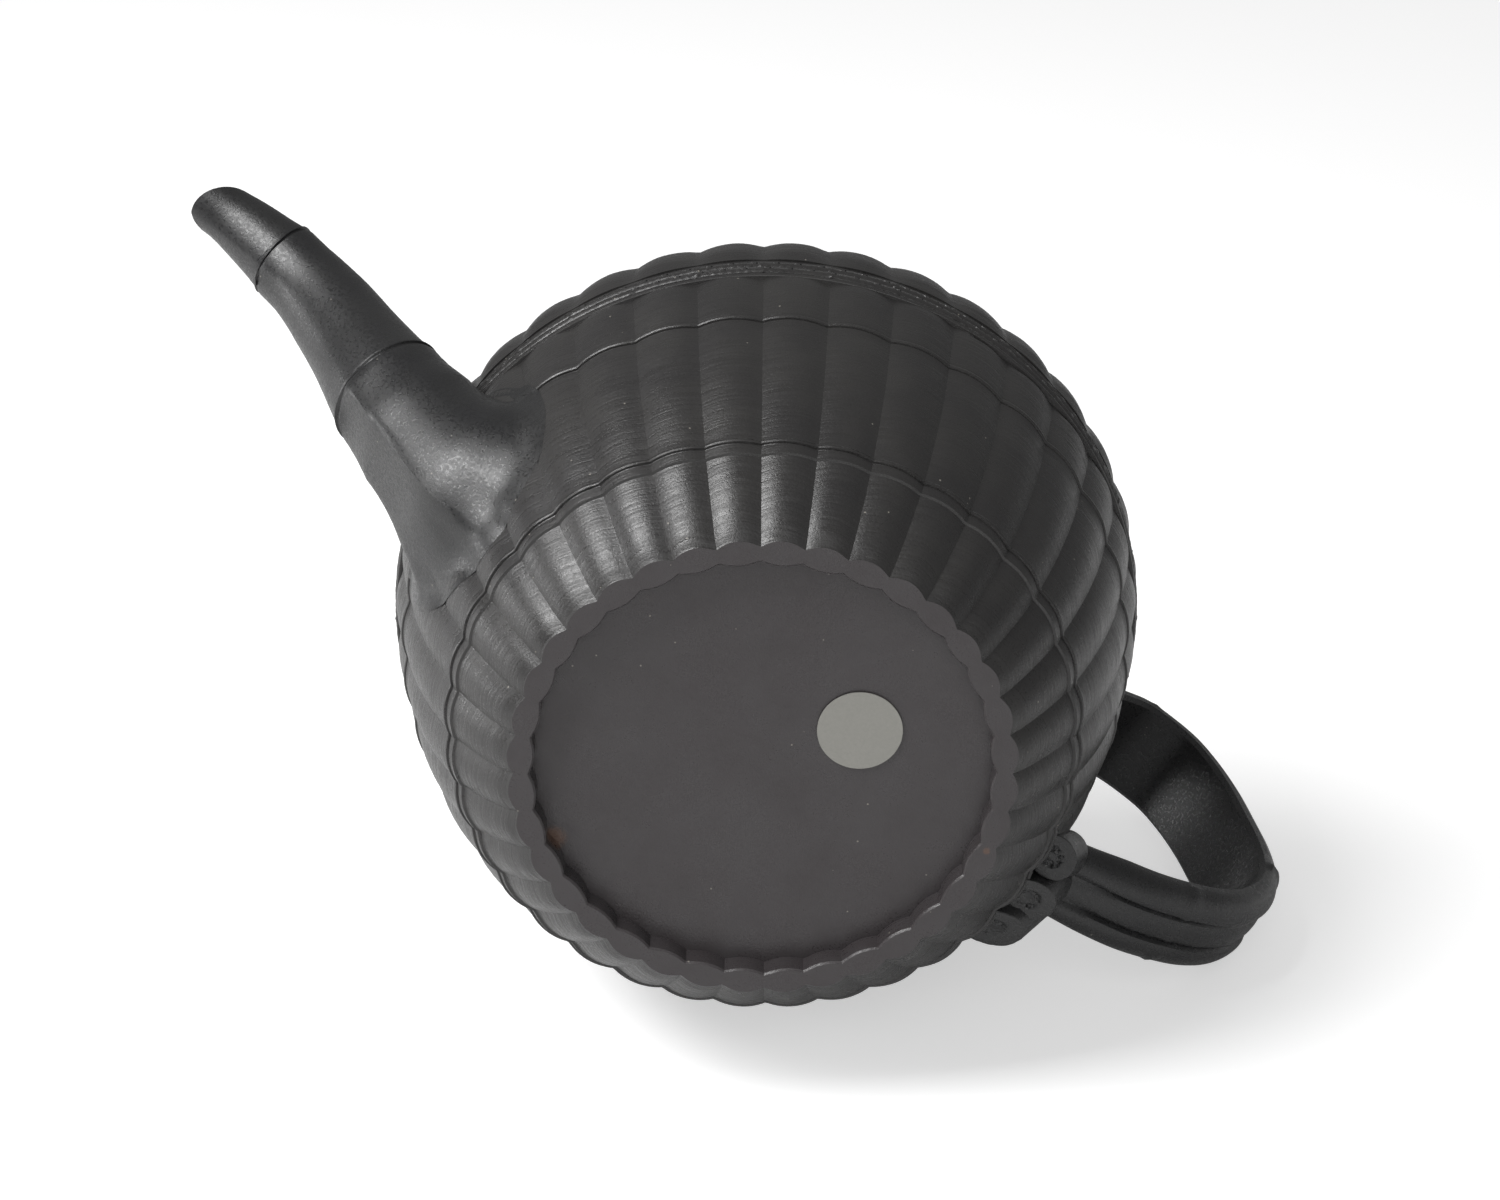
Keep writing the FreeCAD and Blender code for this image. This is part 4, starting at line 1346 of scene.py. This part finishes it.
        def past_seam(index: int, place: Vector) -> float:
            """Return how far a point is turned from the seam, towards the near side."""
            ring = rings[min(index // self.sides, len(rings) - 1)]
            aside = place - ring.centre
            under = Vector((-math.sin(ring.tilt), 0, -math.cos(ring.tilt)))
            turned = math.atan2(-aside.y / ring.width, aside.dot(under) / ring.depth)
            return turned - at_share(self.arris_turns, -ring.centre.x)

        def seam_share(index: int) -> float:
            """Return the seam's share of its full shape at a point's section."""
            ring = rings[min(index // self.sides, len(rings) - 1)]
            return at_share(self.arris_shares, -ring.centre.x) * ring.width / self.root_half

        def on_arris(index: int, place: Vector) -> float:
            past = past_seam(index, place)
            near = at_share(self.arris_rise, past / self.arris_spread)
            far = max(1 + past / self.seam_spread, 0.0)
            return min(near, far) * seam_share(index)

        def in_seam(index: int, place: Vector) -> float:
            share = -past_seam(index, place) / self.seam_spread
            return 4 * share * (1 - share) * seam_share(index) if 0 < share < 1 else 0.0

        def hand_made(index: int, place: Vector) -> float:
            ring = rings[min(index // self.sides, len(rings) - 1)]
            calm = ease((self.mouth[0] + ring.centre.x) / self.calm_reach)
            return calm * (1 - on_skirt(index, place))

        shells = []
        for name, inset in (("spout_cane", 0.0), ("spout_bore", self.wall)):
            drawn = [Station(r.centre, r.tilt, r.width - inset, r.depth - inset) for r in rings]
            shell = self.ring(name, drawn[0])
            sweep(shell, drawn)
            shell.weigh("skirt", on_skirt)
            shells.append(shell)
        spout, bore = shells
        spout.weigh("arris", on_arris)
        spout.weigh("seam", in_seam)
        spout.weigh("outside", hand_made)
        for shell in shells:
            shell.lay_on(wall.object, "skirt", self.skirt_offset)
        self.close(spout, bore)
        spout.heal()
        spout.press("arris", self.arris_height)
        spout.press("seam", -self.seam_depth)
        spout.roughen("hand_luting", self.unevenness, self.lump_size, "outside")
        spout.dress(finish, Body.POT, Slot.STONE, ["spout"])
        return spout

    def close(self, spout: Piece, bore: Piece) -> None:
        """Cut the mouth, and join the bore to the outside at the mouth and at the root."""
        bpy.ops.object.select_all(action="DESELECT")
        bore.object.select_set(True)
        spout.object.select_set(True)
        bpy.context.view_layer.objects.active = spout.object
        bpy.ops.object.join()
        centre = Vector((-self.mouth[0], 0, self.mouth[1]))
        facing = Vector((-math.cos(self.mouth_tilt), 0, math.sin(self.mouth_tilt)))
        spout.edit()
        bpy.ops.mesh.select_all(action="SELECT")
        bpy.ops.mesh.bisect(plane_co=centre, plane_no=facing, clear_outer=True)
        spout.choose_rims(lambda place: abs((place - centre).dot(facing)) < MM / 10)
        bpy.ops.mesh.bridge_edge_loops()
        spout.choose_rims(lambda _place: True)
        bpy.ops.mesh.bridge_edge_loops()
        bpy.ops.mesh.select_mode(type="VERT")
        spout.leave()


@dataclass
class Handle:
    """The strap handle of three canes, and its three cut cane ends."""

    start: tuple[float, float] = (60.0 * MM, 28.8 * MM)
    reach: float = 120.3 * MM
    top: float = 114.0 * MM
    width: float = 21.0 * MM
    thickness: float = 5.8 * MM
    dish: float = 0.35 * MM
    bevel: float = 0.9 * MM
    side_share: float = 0.45
    groove_share: float = 0.82
    cane_parts: int = 10
    inner_parts: int = 8
    node_height: float = 0.6 * MM
    parts: int = 6
    aside: float = 1.2 * MM
    fade_reach: float = 82.0 * MM
    fade_full: float = 68.0 * MM
    fade_rounds: int = 12
    # Share of the reach, of the height and of the width
    shares: tuple[tuple[float, float, float], ...] = (
        (0.000, 0.671, 1.00), (0.147, 0.806, 1.00), (0.310, 0.918, 1.00), (0.474, 0.986, 1.00),
        (0.585, 1.001, 1.00), (0.743, 0.962, 0.99), (0.838, 0.888, 0.98), (0.907, 0.789, 0.97),
        (0.954, 0.677, 0.96), (0.993, 0.566, 0.95), (1.000, 0.460, 0.94), (0.968, 0.363, 0.93),
        (0.871, 0.249, 0.91), (0.752, 0.167, 0.90), (0.613, 0.106, 0.89), (0.474, 0.061, 0.88),
        (0.335, 0.035, 0.86), (0.196, 0.018, 0.84), (0.000, 0.000, 0.80),
    )
    # Knot that each node ring stands at, and the share of the full height that it has
    nodes: tuple[tuple[int, float], ...] = ((4, 0.35), (10, 1.0), (14, 0.5))
    node_reach: float = 1.6 * MM
    # Name and radius of each cut cane end, the middles of its top and its cut, and the cut's facing
    ends: tuple[tuple[str, float, Vector, Vector, Vector], ...] = (
        (
            "middle", 5.2 * MM, Vector((67.0, 1.8, 28.0)) * MM, Vector((62.3, 2.9, 16.7)) * MM,
            Vector((0.15, 0.23, -0.96)),
        ),
        (
            "near", 4.6 * MM, Vector((66.6, -5.0, 28.0)) * MM, Vector((61.2, -7.3, 17.4)) * MM,
            Vector((0.0, 0.0, -1.0)),
        ),
        (
            "far", 5.2 * MM, Vector((66.6, 7.0, 28.0)) * MM, Vector((60.2, 11.6, 16.5)) * MM,
            Vector((0.2, 0.31, -0.93)),
        ),
    )
    end_excess: float = 6.0 * MM
    end_sides: int = 64
    end_edge: float = 0.3 * MM
    end_ring: float = 0.26 * MM
    end_rings: int = 14
    dish_share: float = 0.6
    end_dish: float = 0.5 * MM
    stipple_height: float = 0.9 * MM
    stipple_size: float = 0.5 * MM
    end_unevenness: float = 0.7 * MM
    end_lump: float = 4.5 * MM

    def section(self, first: Station) -> list[Vector]:
        """Return the strap's section in the first station's plane.

        Args:
            first: The station that it stands on.

        Returns:
            The points of the section, round the strap.
        """
        half = first.width / 2
        inner = -self.thickness / 2
        crest = self.thickness / 2
        side = inner + self.thickness * self.side_share
        groove = inner + self.thickness * self.groove_share
        flat = half - self.bevel
        rows = [(-half, side), (-half, inner + self.bevel)]
        for k in range(self.inner_parts + 1):
            share = k / self.inner_parts
            across = flat * (2 * share - 1)
            rows.append((across, inner + 4 * self.dish * share * (1 - share)))
        rows += [(half, inner + self.bevel), (half, side)]
        ends = [(half, side), (half / 3, groove), (-half / 3, groove), (-half, side)]
        for (start, low), (end, high) in zip(ends, ends[1:]):
            for k in range(1, self.cane_parts + 1):
                share = k / self.cane_parts
                base = low + (high - low) * share
                rise = (crest - (low + high) / 2) * math.sqrt(4 * share * (1 - share))
                rows.append((start + (end - start) * share, base + rise))
        rows.pop()
        outward = Vector((-math.sin(first.tilt), 0, math.cos(first.tilt)))
        return [first.centre + Vector((0, across, 0)) + outward * out for across, out in rows]

    def stations(self) -> list[Station]:
        """Return the stations of the strap from the shoulder round to the wall."""
        reach = self.reach - self.start[0]
        rise = self.top - self.start[1]
        knots = [
            Vector((self.start[0] + reach * out, self.width * wide, self.start[1] + rise * up))
            for out, up, wide in self.shares
        ]
        fine = rounded_path(knots, self.parts)
        stations = []
        last = len(fine) - 1
        before = None
        for k, point in enumerate(fine):
            ahead = fine[min(k + 1, last)] - fine[max(k - 1, 0)]
            tilt = math.atan2(ahead.z, ahead.x)
            if before is not None:
                tilt = before + (tilt - before + math.pi) % math.tau - math.pi
            before = tilt
            centre = Vector((point.x, self.aside, point.z))
            stations.append(Station(centre, tilt, point.y, self.thickness))
        return stations

    def build_strap(self, finish: bpy.types.Material) -> Piece:
        """Build the strap.

        Args:
            finish: Its material.

        Returns:
            The strap.
        """
        stations = self.stations()
        section = self.section(stations[0])
        strap = Piece.line("strap_of_three_canes", section, closed=True)
        wound = [Station(s.centre, -s.tilt, s.width, s.depth) for s in stations]
        sweep(strap, wound)
        count = len(section)
        marks = [(stations[knot * self.parts].centre, share) for knot, share in self.nodes]
        inner_rows = range(1, self.inner_parts + 4)

        def on_nodes(index: int, _place: Vector) -> float:
            if index % count in inner_rows:
                return 0.0
            centre = stations[min(index // count, len(stations) - 1)].centre
            return max(
                share * max(1 - (centre - mark).length / self.node_reach, 0.0)
                for mark, share in marks
            )

        def at_root(_index: int, place: Vector) -> float:
            if place.z > self.start[1] + self.thickness * 2:
                return 0.0
            return ease((self.fade_reach - place.x) / (self.fade_reach - self.fade_full))

        strap.edit()
        for at_end in (0, len(stations) - 1):
            strap.choose(lambda index, _place, ring=at_end: index // count == ring)
            bpy.ops.mesh.edge_face_add()
        strap.leave()
        strap.weigh("nodes", on_nodes)
        strap.weigh("root", at_root)
        strap.heal()
        strap.press("nodes", self.node_height)
        strap.soften("root", self.fade_rounds)
        strap.dress(finish, Body.POT, Slot.STONE, ["handle_strap"])
        return strap

    def build_ends(self, finish: bpy.types.Material) -> list[Piece]:
        """Build the three cut cane ends.

        Args:
            finish: Their material.

        Returns:
            The ends: middle, near and far.
        """
        made = []
        for name, radius, top, foot, facing in self.ends:
            longer = foot + (foot - top).normalized() * self.end_excess
            end = Piece.rod("cut_cane_" + name, radius, self.end_sides, top, longer)
            heading = facing.normalized()
            dish = radius * self.dish_share

            def cut(_index: int, place: Vector, at: Vector = foot, out: Vector = heading) -> bool:
                return (place - at).dot(out) > -MM / 100

            def inside(
                _index: int, place: Vector, at: Vector = foot, out: Vector = heading,
                reach: float = dish,
            ) -> float:
                return float(cut(0, place, at, out)) * ease(3 * (1 - (place - at).length / reach))

            end.edit()
            bpy.ops.mesh.select_all(action="SELECT")
            bpy.ops.mesh.bisect(plane_co=foot, plane_no=heading, clear_outer=True, use_fill=True)
            end.choose(cut)
            bpy.ops.mesh.select_mode(type="FACE")
            bpy.ops.mesh.bevel(offset=self.end_edge, segments=3)
            end.choose(cut)
            bpy.ops.mesh.select_mode(type="FACE")
            for _ring in range(self.end_rings):
                bpy.ops.mesh.inset(thickness=self.end_ring)
            end.leave()
            end.heal()
            end.weigh("cut_face", inside)
            end.press("cut_face", -self.end_dish)
            end.roughen("stipple_" + name, self.stipple_height, self.stipple_size, "cut_face")
            end.roughen("hand_cut_" + name, self.end_unevenness, self.end_lump)
            end.dress(finish, Body.POT, Slot.STONE, ["cane_terminal_" + name])
            made.append(end)
        return made


# ---------------------------------------------------------------- the lid


@dataclass
class Lid:
    """The lid with canes that spread from its knop, a cut cane on a stem."""

    canes: Canes = Canes(24)
    steps: int = 24 * 14
    rim: float = 41.1 * MM
    bottom: float = 98.6 * MM
    rim_top: float = 101.2 * MM
    top: float = 110.2 * MM
    seat: float = 7.6 * MM
    swell: float = 0.7 * MM
    thickness: float = 3.4 * MM
    bore: float = 36.4 * MM
    hole_radius: float = 1.4 * MM
    hole_reach: float = 15.0 * MM
    parts: int = 22
    rim_edge: float = 0.5 * MM
    knop_steps: int = 96
    stem: tuple[tuple[float, float], ...] = (
        (0.0, 110.2 * MM), (7.6 * MM, 110.2 * MM), (7.6 * MM, 110.9 * MM), (6.6 * MM, 111.5 * MM),
        (5.5 * MM, 112.4 * MM), (4.8 * MM, 113.4 * MM), (4.6 * MM, 114.3 * MM),
        (4.8 * MM, 115.4 * MM), (5.2 * MM, 116.6 * MM), (5.5 * MM, 117.6 * MM), (0.0, 117.6 * MM),
    )
    node_ring: tuple[tuple[float, float], ...] = (
        (0.0, 117.6 * MM), (5.4 * MM, 117.6 * MM), (5.9 * MM, 117.9 * MM), (6.3 * MM, 118.3 * MM),
        (6.4 * MM, 118.7 * MM), (6.3 * MM, 119.1 * MM), (5.9 * MM, 119.5 * MM),
        (5.4 * MM, 119.8 * MM), (0.0, 119.8 * MM),
    )
    cane: tuple[tuple[float, float], ...] = (
        (0.0, 119.8 * MM), (4.7 * MM, 119.8 * MM), (4.7 * MM, 121.0 * MM), (4.75 * MM, 122.5 * MM),
        (5.0 * MM, 124.0 * MM), (5.6 * MM, 125.4 * MM), (6.2 * MM, 126.2 * MM),
        (6.4 * MM, 126.6 * MM), (6.2 * MM, 127.0 * MM), (5.6 * MM, 127.2 * MM),
        (4.6 * MM, 126.9 * MM), (3.4 * MM, 126.5 * MM), (2.2 * MM, 126.6 * MM), (0.0, 126.9 * MM),
    )

    def curve(self, share: float, rim: float, seat: float, low: float, rise: float) -> tuple[float, float]:
        """Return radius and height at a share of a quarter round."""
        angle = math.pi / 2 * share
        return seat + (rim - seat) * max(math.cos(angle), 0.0), low + rise * math.sin(angle)

    def build_dome(self, finish: bpy.types.Material) -> Piece:
        """Build the dome.

        Args:
            finish: Its material.

        Returns:
            The dome.
        """
        profile = [(self.bore, self.bottom), (self.rim - self.rim_edge, self.bottom)]
        profile += [(self.rim, self.bottom + self.rim_edge)]
        rise = self.top - self.rim_top
        for k in range(self.parts + 1):
            profile.append(self.curve(k / self.parts, self.rim, self.seat, self.rim_top, rise))
        profile.append((0.0, self.top))
        hollow = self.top - self.thickness - self.bottom
        for k in range(10, 0, -1):
            profile.append(self.curve(k / 10, self.bore, 0.0, self.bottom, hollow))
        dome = Piece.turned("lid_of_canes", profile, self.steps)

        def on_canes(_index: int, place: Vector) -> float:
            radius = math.hypot(place.x, place.y)
            inside = min(radius / self.bore, 1.0)
            hollow_top = self.bottom + hollow * math.sqrt(1 - inside * inside)
            shown = radius > self.seat - MM / 10 and place.z > hollow_top + self.thickness / 3
            shown = shown or radius > self.rim - self.rim_edge - MM / 10
            return self.canes.swell(place) * radius / self.rim if shown else 0.0

        dome.weigh("canes", on_canes)
        dome.press("canes", self.swell)
        low = Vector((self.hole_reach, 0, self.bottom))
        high = Vector((self.hole_reach, 0, self.top + self.thickness))
        dome.pierce([Piece.rod("steam_punch", self.hole_radius, 24, low, high)])
        dome.dress(finish, Body.LID, Slot.STONE, ["lid_dome"])
        return dome

    def build_knop(self, finish: bpy.types.Material) -> list[Piece]:
        """Build the knop's stem, node ring and cut cane.

        Args:
            finish: Their material.

        Returns:
            The three pieces.
        """
        pieces = []
        for name, node, profile in (
            ("knop_stem_turned", "knop_stem", self.stem),
            ("knop_node_turned", "knop_node_ring", self.node_ring),
            ("knop_cut_cane", "knop_cane", self.cane),
        ):
            piece = Piece.turned(name, list(profile), self.knop_steps, closed=False)
            piece.dress(finish, Body.LID, Slot.STONE, [node])
            pieces.append(piece)
        return pieces


# ---------------------------------------------------------------- the studio


@dataclass
class Studio:
    """The table that the pot lies on, the soft light and the camera."""

    table_normal: Vector = field(default_factory=lambda: Vector((-0.54, -0.84, 0.0)))
    table_distance: float = 75.8 * MM
    table_size: float = 6.0
    eye: Vector = field(default_factory=lambda: Vector((-0.1624, -0.2597, -0.5664)))
    ahead: Vector = field(default_factory=lambda: Vector((0.2249, 0.3683, 0.9021)))
    upward: Vector = field(default_factory=lambda: Vector((-0.4952, -0.7541, 0.4314)))
    lens: float = 84.0
    sensor: float = 36.0
    world_level: float = 0.24
    key_distance: float = 1.0
    key_size: float = 0.5
    key_power: float = 12.0
    edge_size: float = 0.3
    edge_power: float = 2.0
    fill_size: float = 0.7
    fill_power: float = 3.0

    def build_table(self) -> None:
        """Lay the table against the pot's belly."""
        normal = self.table_normal.normalized()
        bpy.ops.object.select_all(action="DESELECT")
        bpy.ops.mesh.primitive_plane_add(
            size=self.table_size, location=-normal * self.table_distance,
            rotation=normal.to_track_quat("Z", "Y").to_euler(),
        )
        table = bpy.context.object
        table.name = "table"
        table.data.materials.append(WhiteTable().material())

    def build_world(self) -> None:
        """Light the pot evenly, with a background that the camera sees as white."""
        world = bpy.data.worlds.new("studio")
        bpy.context.scene.world = world
        world.use_nodes = True
        tree = world.node_tree
        tree.nodes.clear()
        path = add_node(tree, "ShaderNodeLightPath")
        level = add_node(tree, "ShaderNodeBackground", {"Strength": self.world_level})
        white = add_node(tree, "ShaderNodeBackground", {"Strength": 1.0})
        for plain in (level, white):
            plain.inputs["Color"].default_value = (1, 1, 1, 1)
        both = add_node(
            tree, "ShaderNodeMixShader",
            {0: path.outputs["Is Camera Ray"], 1: level.outputs[0], 2: white.outputs[0]},
        )
        add_node(tree, "ShaderNodeOutputWorld", {"Surface": both.outputs[0]})

    def build_lamp(self, name: str, place: Vector, size: float, power: float) -> None:
        """Hang one soft lamp that faces the pot.

        Args:
            name: The lamp's name.
            place: Where it hangs.
            size: The side of its square.
            power: Its power in watts.
        """
        data = bpy.data.lights.new(name, "AREA")
        data.size = size
        data.energy = power
        lamp = bpy.data.objects.new(name, data)
        bpy.context.scene.collection.objects.link(lamp)
        aim = Vector((0, 0, 60 * MM)) - place
        lamp.matrix_world = Matrix.Translation(place) @ aim.to_track_quat("-Z", "Y").to_matrix().to_4x4()

    def build_camera(self) -> None:
        """Set the camera at the photograph's viewing angle."""
        data = bpy.data.cameras.new("camera")
        data.lens = self.lens
        data.sensor_width = self.sensor
        camera = bpy.data.objects.new("camera", data)
        bpy.context.scene.collection.objects.link(camera)
        back = -self.ahead.normalized()
        right = self.upward.cross(back).normalized()
        up = back.cross(right)
        turned = Matrix((right, up, back)).transposed().to_4x4()
        camera.matrix_world = Matrix.Translation(self.eye) @ turned
        bpy.context.scene.camera = camera

    def build(self) -> None:
        """Set up table, light and camera."""
        self.build_table()
        self.build_world()
        up = self.table_normal.normalized()
        right = Vector((0, 0, 1)).cross(up).normalized()
        toward = Vector((0, 0, -1))
        key = (up * 0.77 - right * 0.58 + toward * 0.22).normalized()
        self.build_lamp("key", key * self.key_distance, self.key_size, self.key_power)
        edge = (up * 0.1 - right - toward * 0.18).normalized()
        self.build_lamp("edge", edge * self.key_distance, self.edge_size, self.edge_power)
        fill = (up * 0.5 + right * 0.1 + toward).normalized()
        self.build_lamp("fill", fill * self.key_distance, self.fill_size, self.fill_power)
        self.build_camera()
        bpy.context.scene.view_settings.view_transform = "Standard"


def build_pot(
    stone: bpy.types.Material, pressed: bpy.types.Material, slab_stone: bpy.types.Material
) -> None:
    """Build the pot's pieces.

    Args:
        stone: The moulded stoneware of the body.
        pressed: The stoneware of the applied pieces, without turning lines and with a darker body that is
            painted shade on the spout and the handle.
        slab_stone: The smoother stoneware of the slab, also on the foot rim's flat and the recess wall,
            where its paler tone is painted light.
    """
    wall = Wall().build(stone, slab_stone)
    foot = Foot()
    slab = foot.build_slab(slab_stone)
    foot.build_label(LabelPaper().material(), slab)
    RopeBand().build(stone)
    Shoulder().build(stone)
    Spout().build(pressed, wall)
    handle = Handle()
    handle.build_strap(pressed)
    handle.build_ends(pressed)


def build_lid(stone: bpy.types.Material, pressed: bpy.types.Material) -> None:
    """Build the lid's pieces.

    Args:
        stone: The moulded stoneware of the dome.
        pressed: The stoneware of the knop, whose darker body is painted shade.
    """
    lid = Lid()
    lid.build_dome(stone)
    lid.build_knop(pressed)


def dress_plain_nodes(frame: dict, stone: bpy.types.Material) -> None:
    """Give the stoneware to the CAD nodes that are shown as they are.

    Args:
        frame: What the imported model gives.
        stone: The stoneware.
    """
    for name in ("mouth_collar", "lid_flange"):
        node = frame["nodes"][name]
        for index in range(len(node.material_slots)):
            node.material_slots[index].material = stone
        LOG.info("%s: CAD node with its finish", name)


def main() -> None:
    """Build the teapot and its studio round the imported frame."""
    logging.basicConfig(level=logging.INFO, format="%(name)s: %(message)s")
    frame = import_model()
    stone = BlackStoneware("moulded_black_stoneware").material()
    # A darker copy of the stoneware without turning lines: its darker body is painted shade on the spout
    # and the handle
    pressed = BlackStoneware(
        "pressed_stoneware_with_painted_shade", body="#1d1d1e", worn="#232323", roughness=0.33,
        line_height=0.7 * MM, line_length=0.7 * MM, line_depth=0.0,
    ).material()
    # Paler and warmer than the wall: the slab's own tone, and painted light where it lies on the recess
    # wall of the foot
    slab_stone = BlackStoneware(
        "turned_stoneware_and_painted_recess_light", body="#343031", worn="#393637", line_depth=0.0
    ).material()
    build_pot(stone, pressed, slab_stone)
    build_lid(stone, pressed)
    dress_plain_nodes(frame, stone)
    Studio().build()


if __name__ == "__main__":
    main()
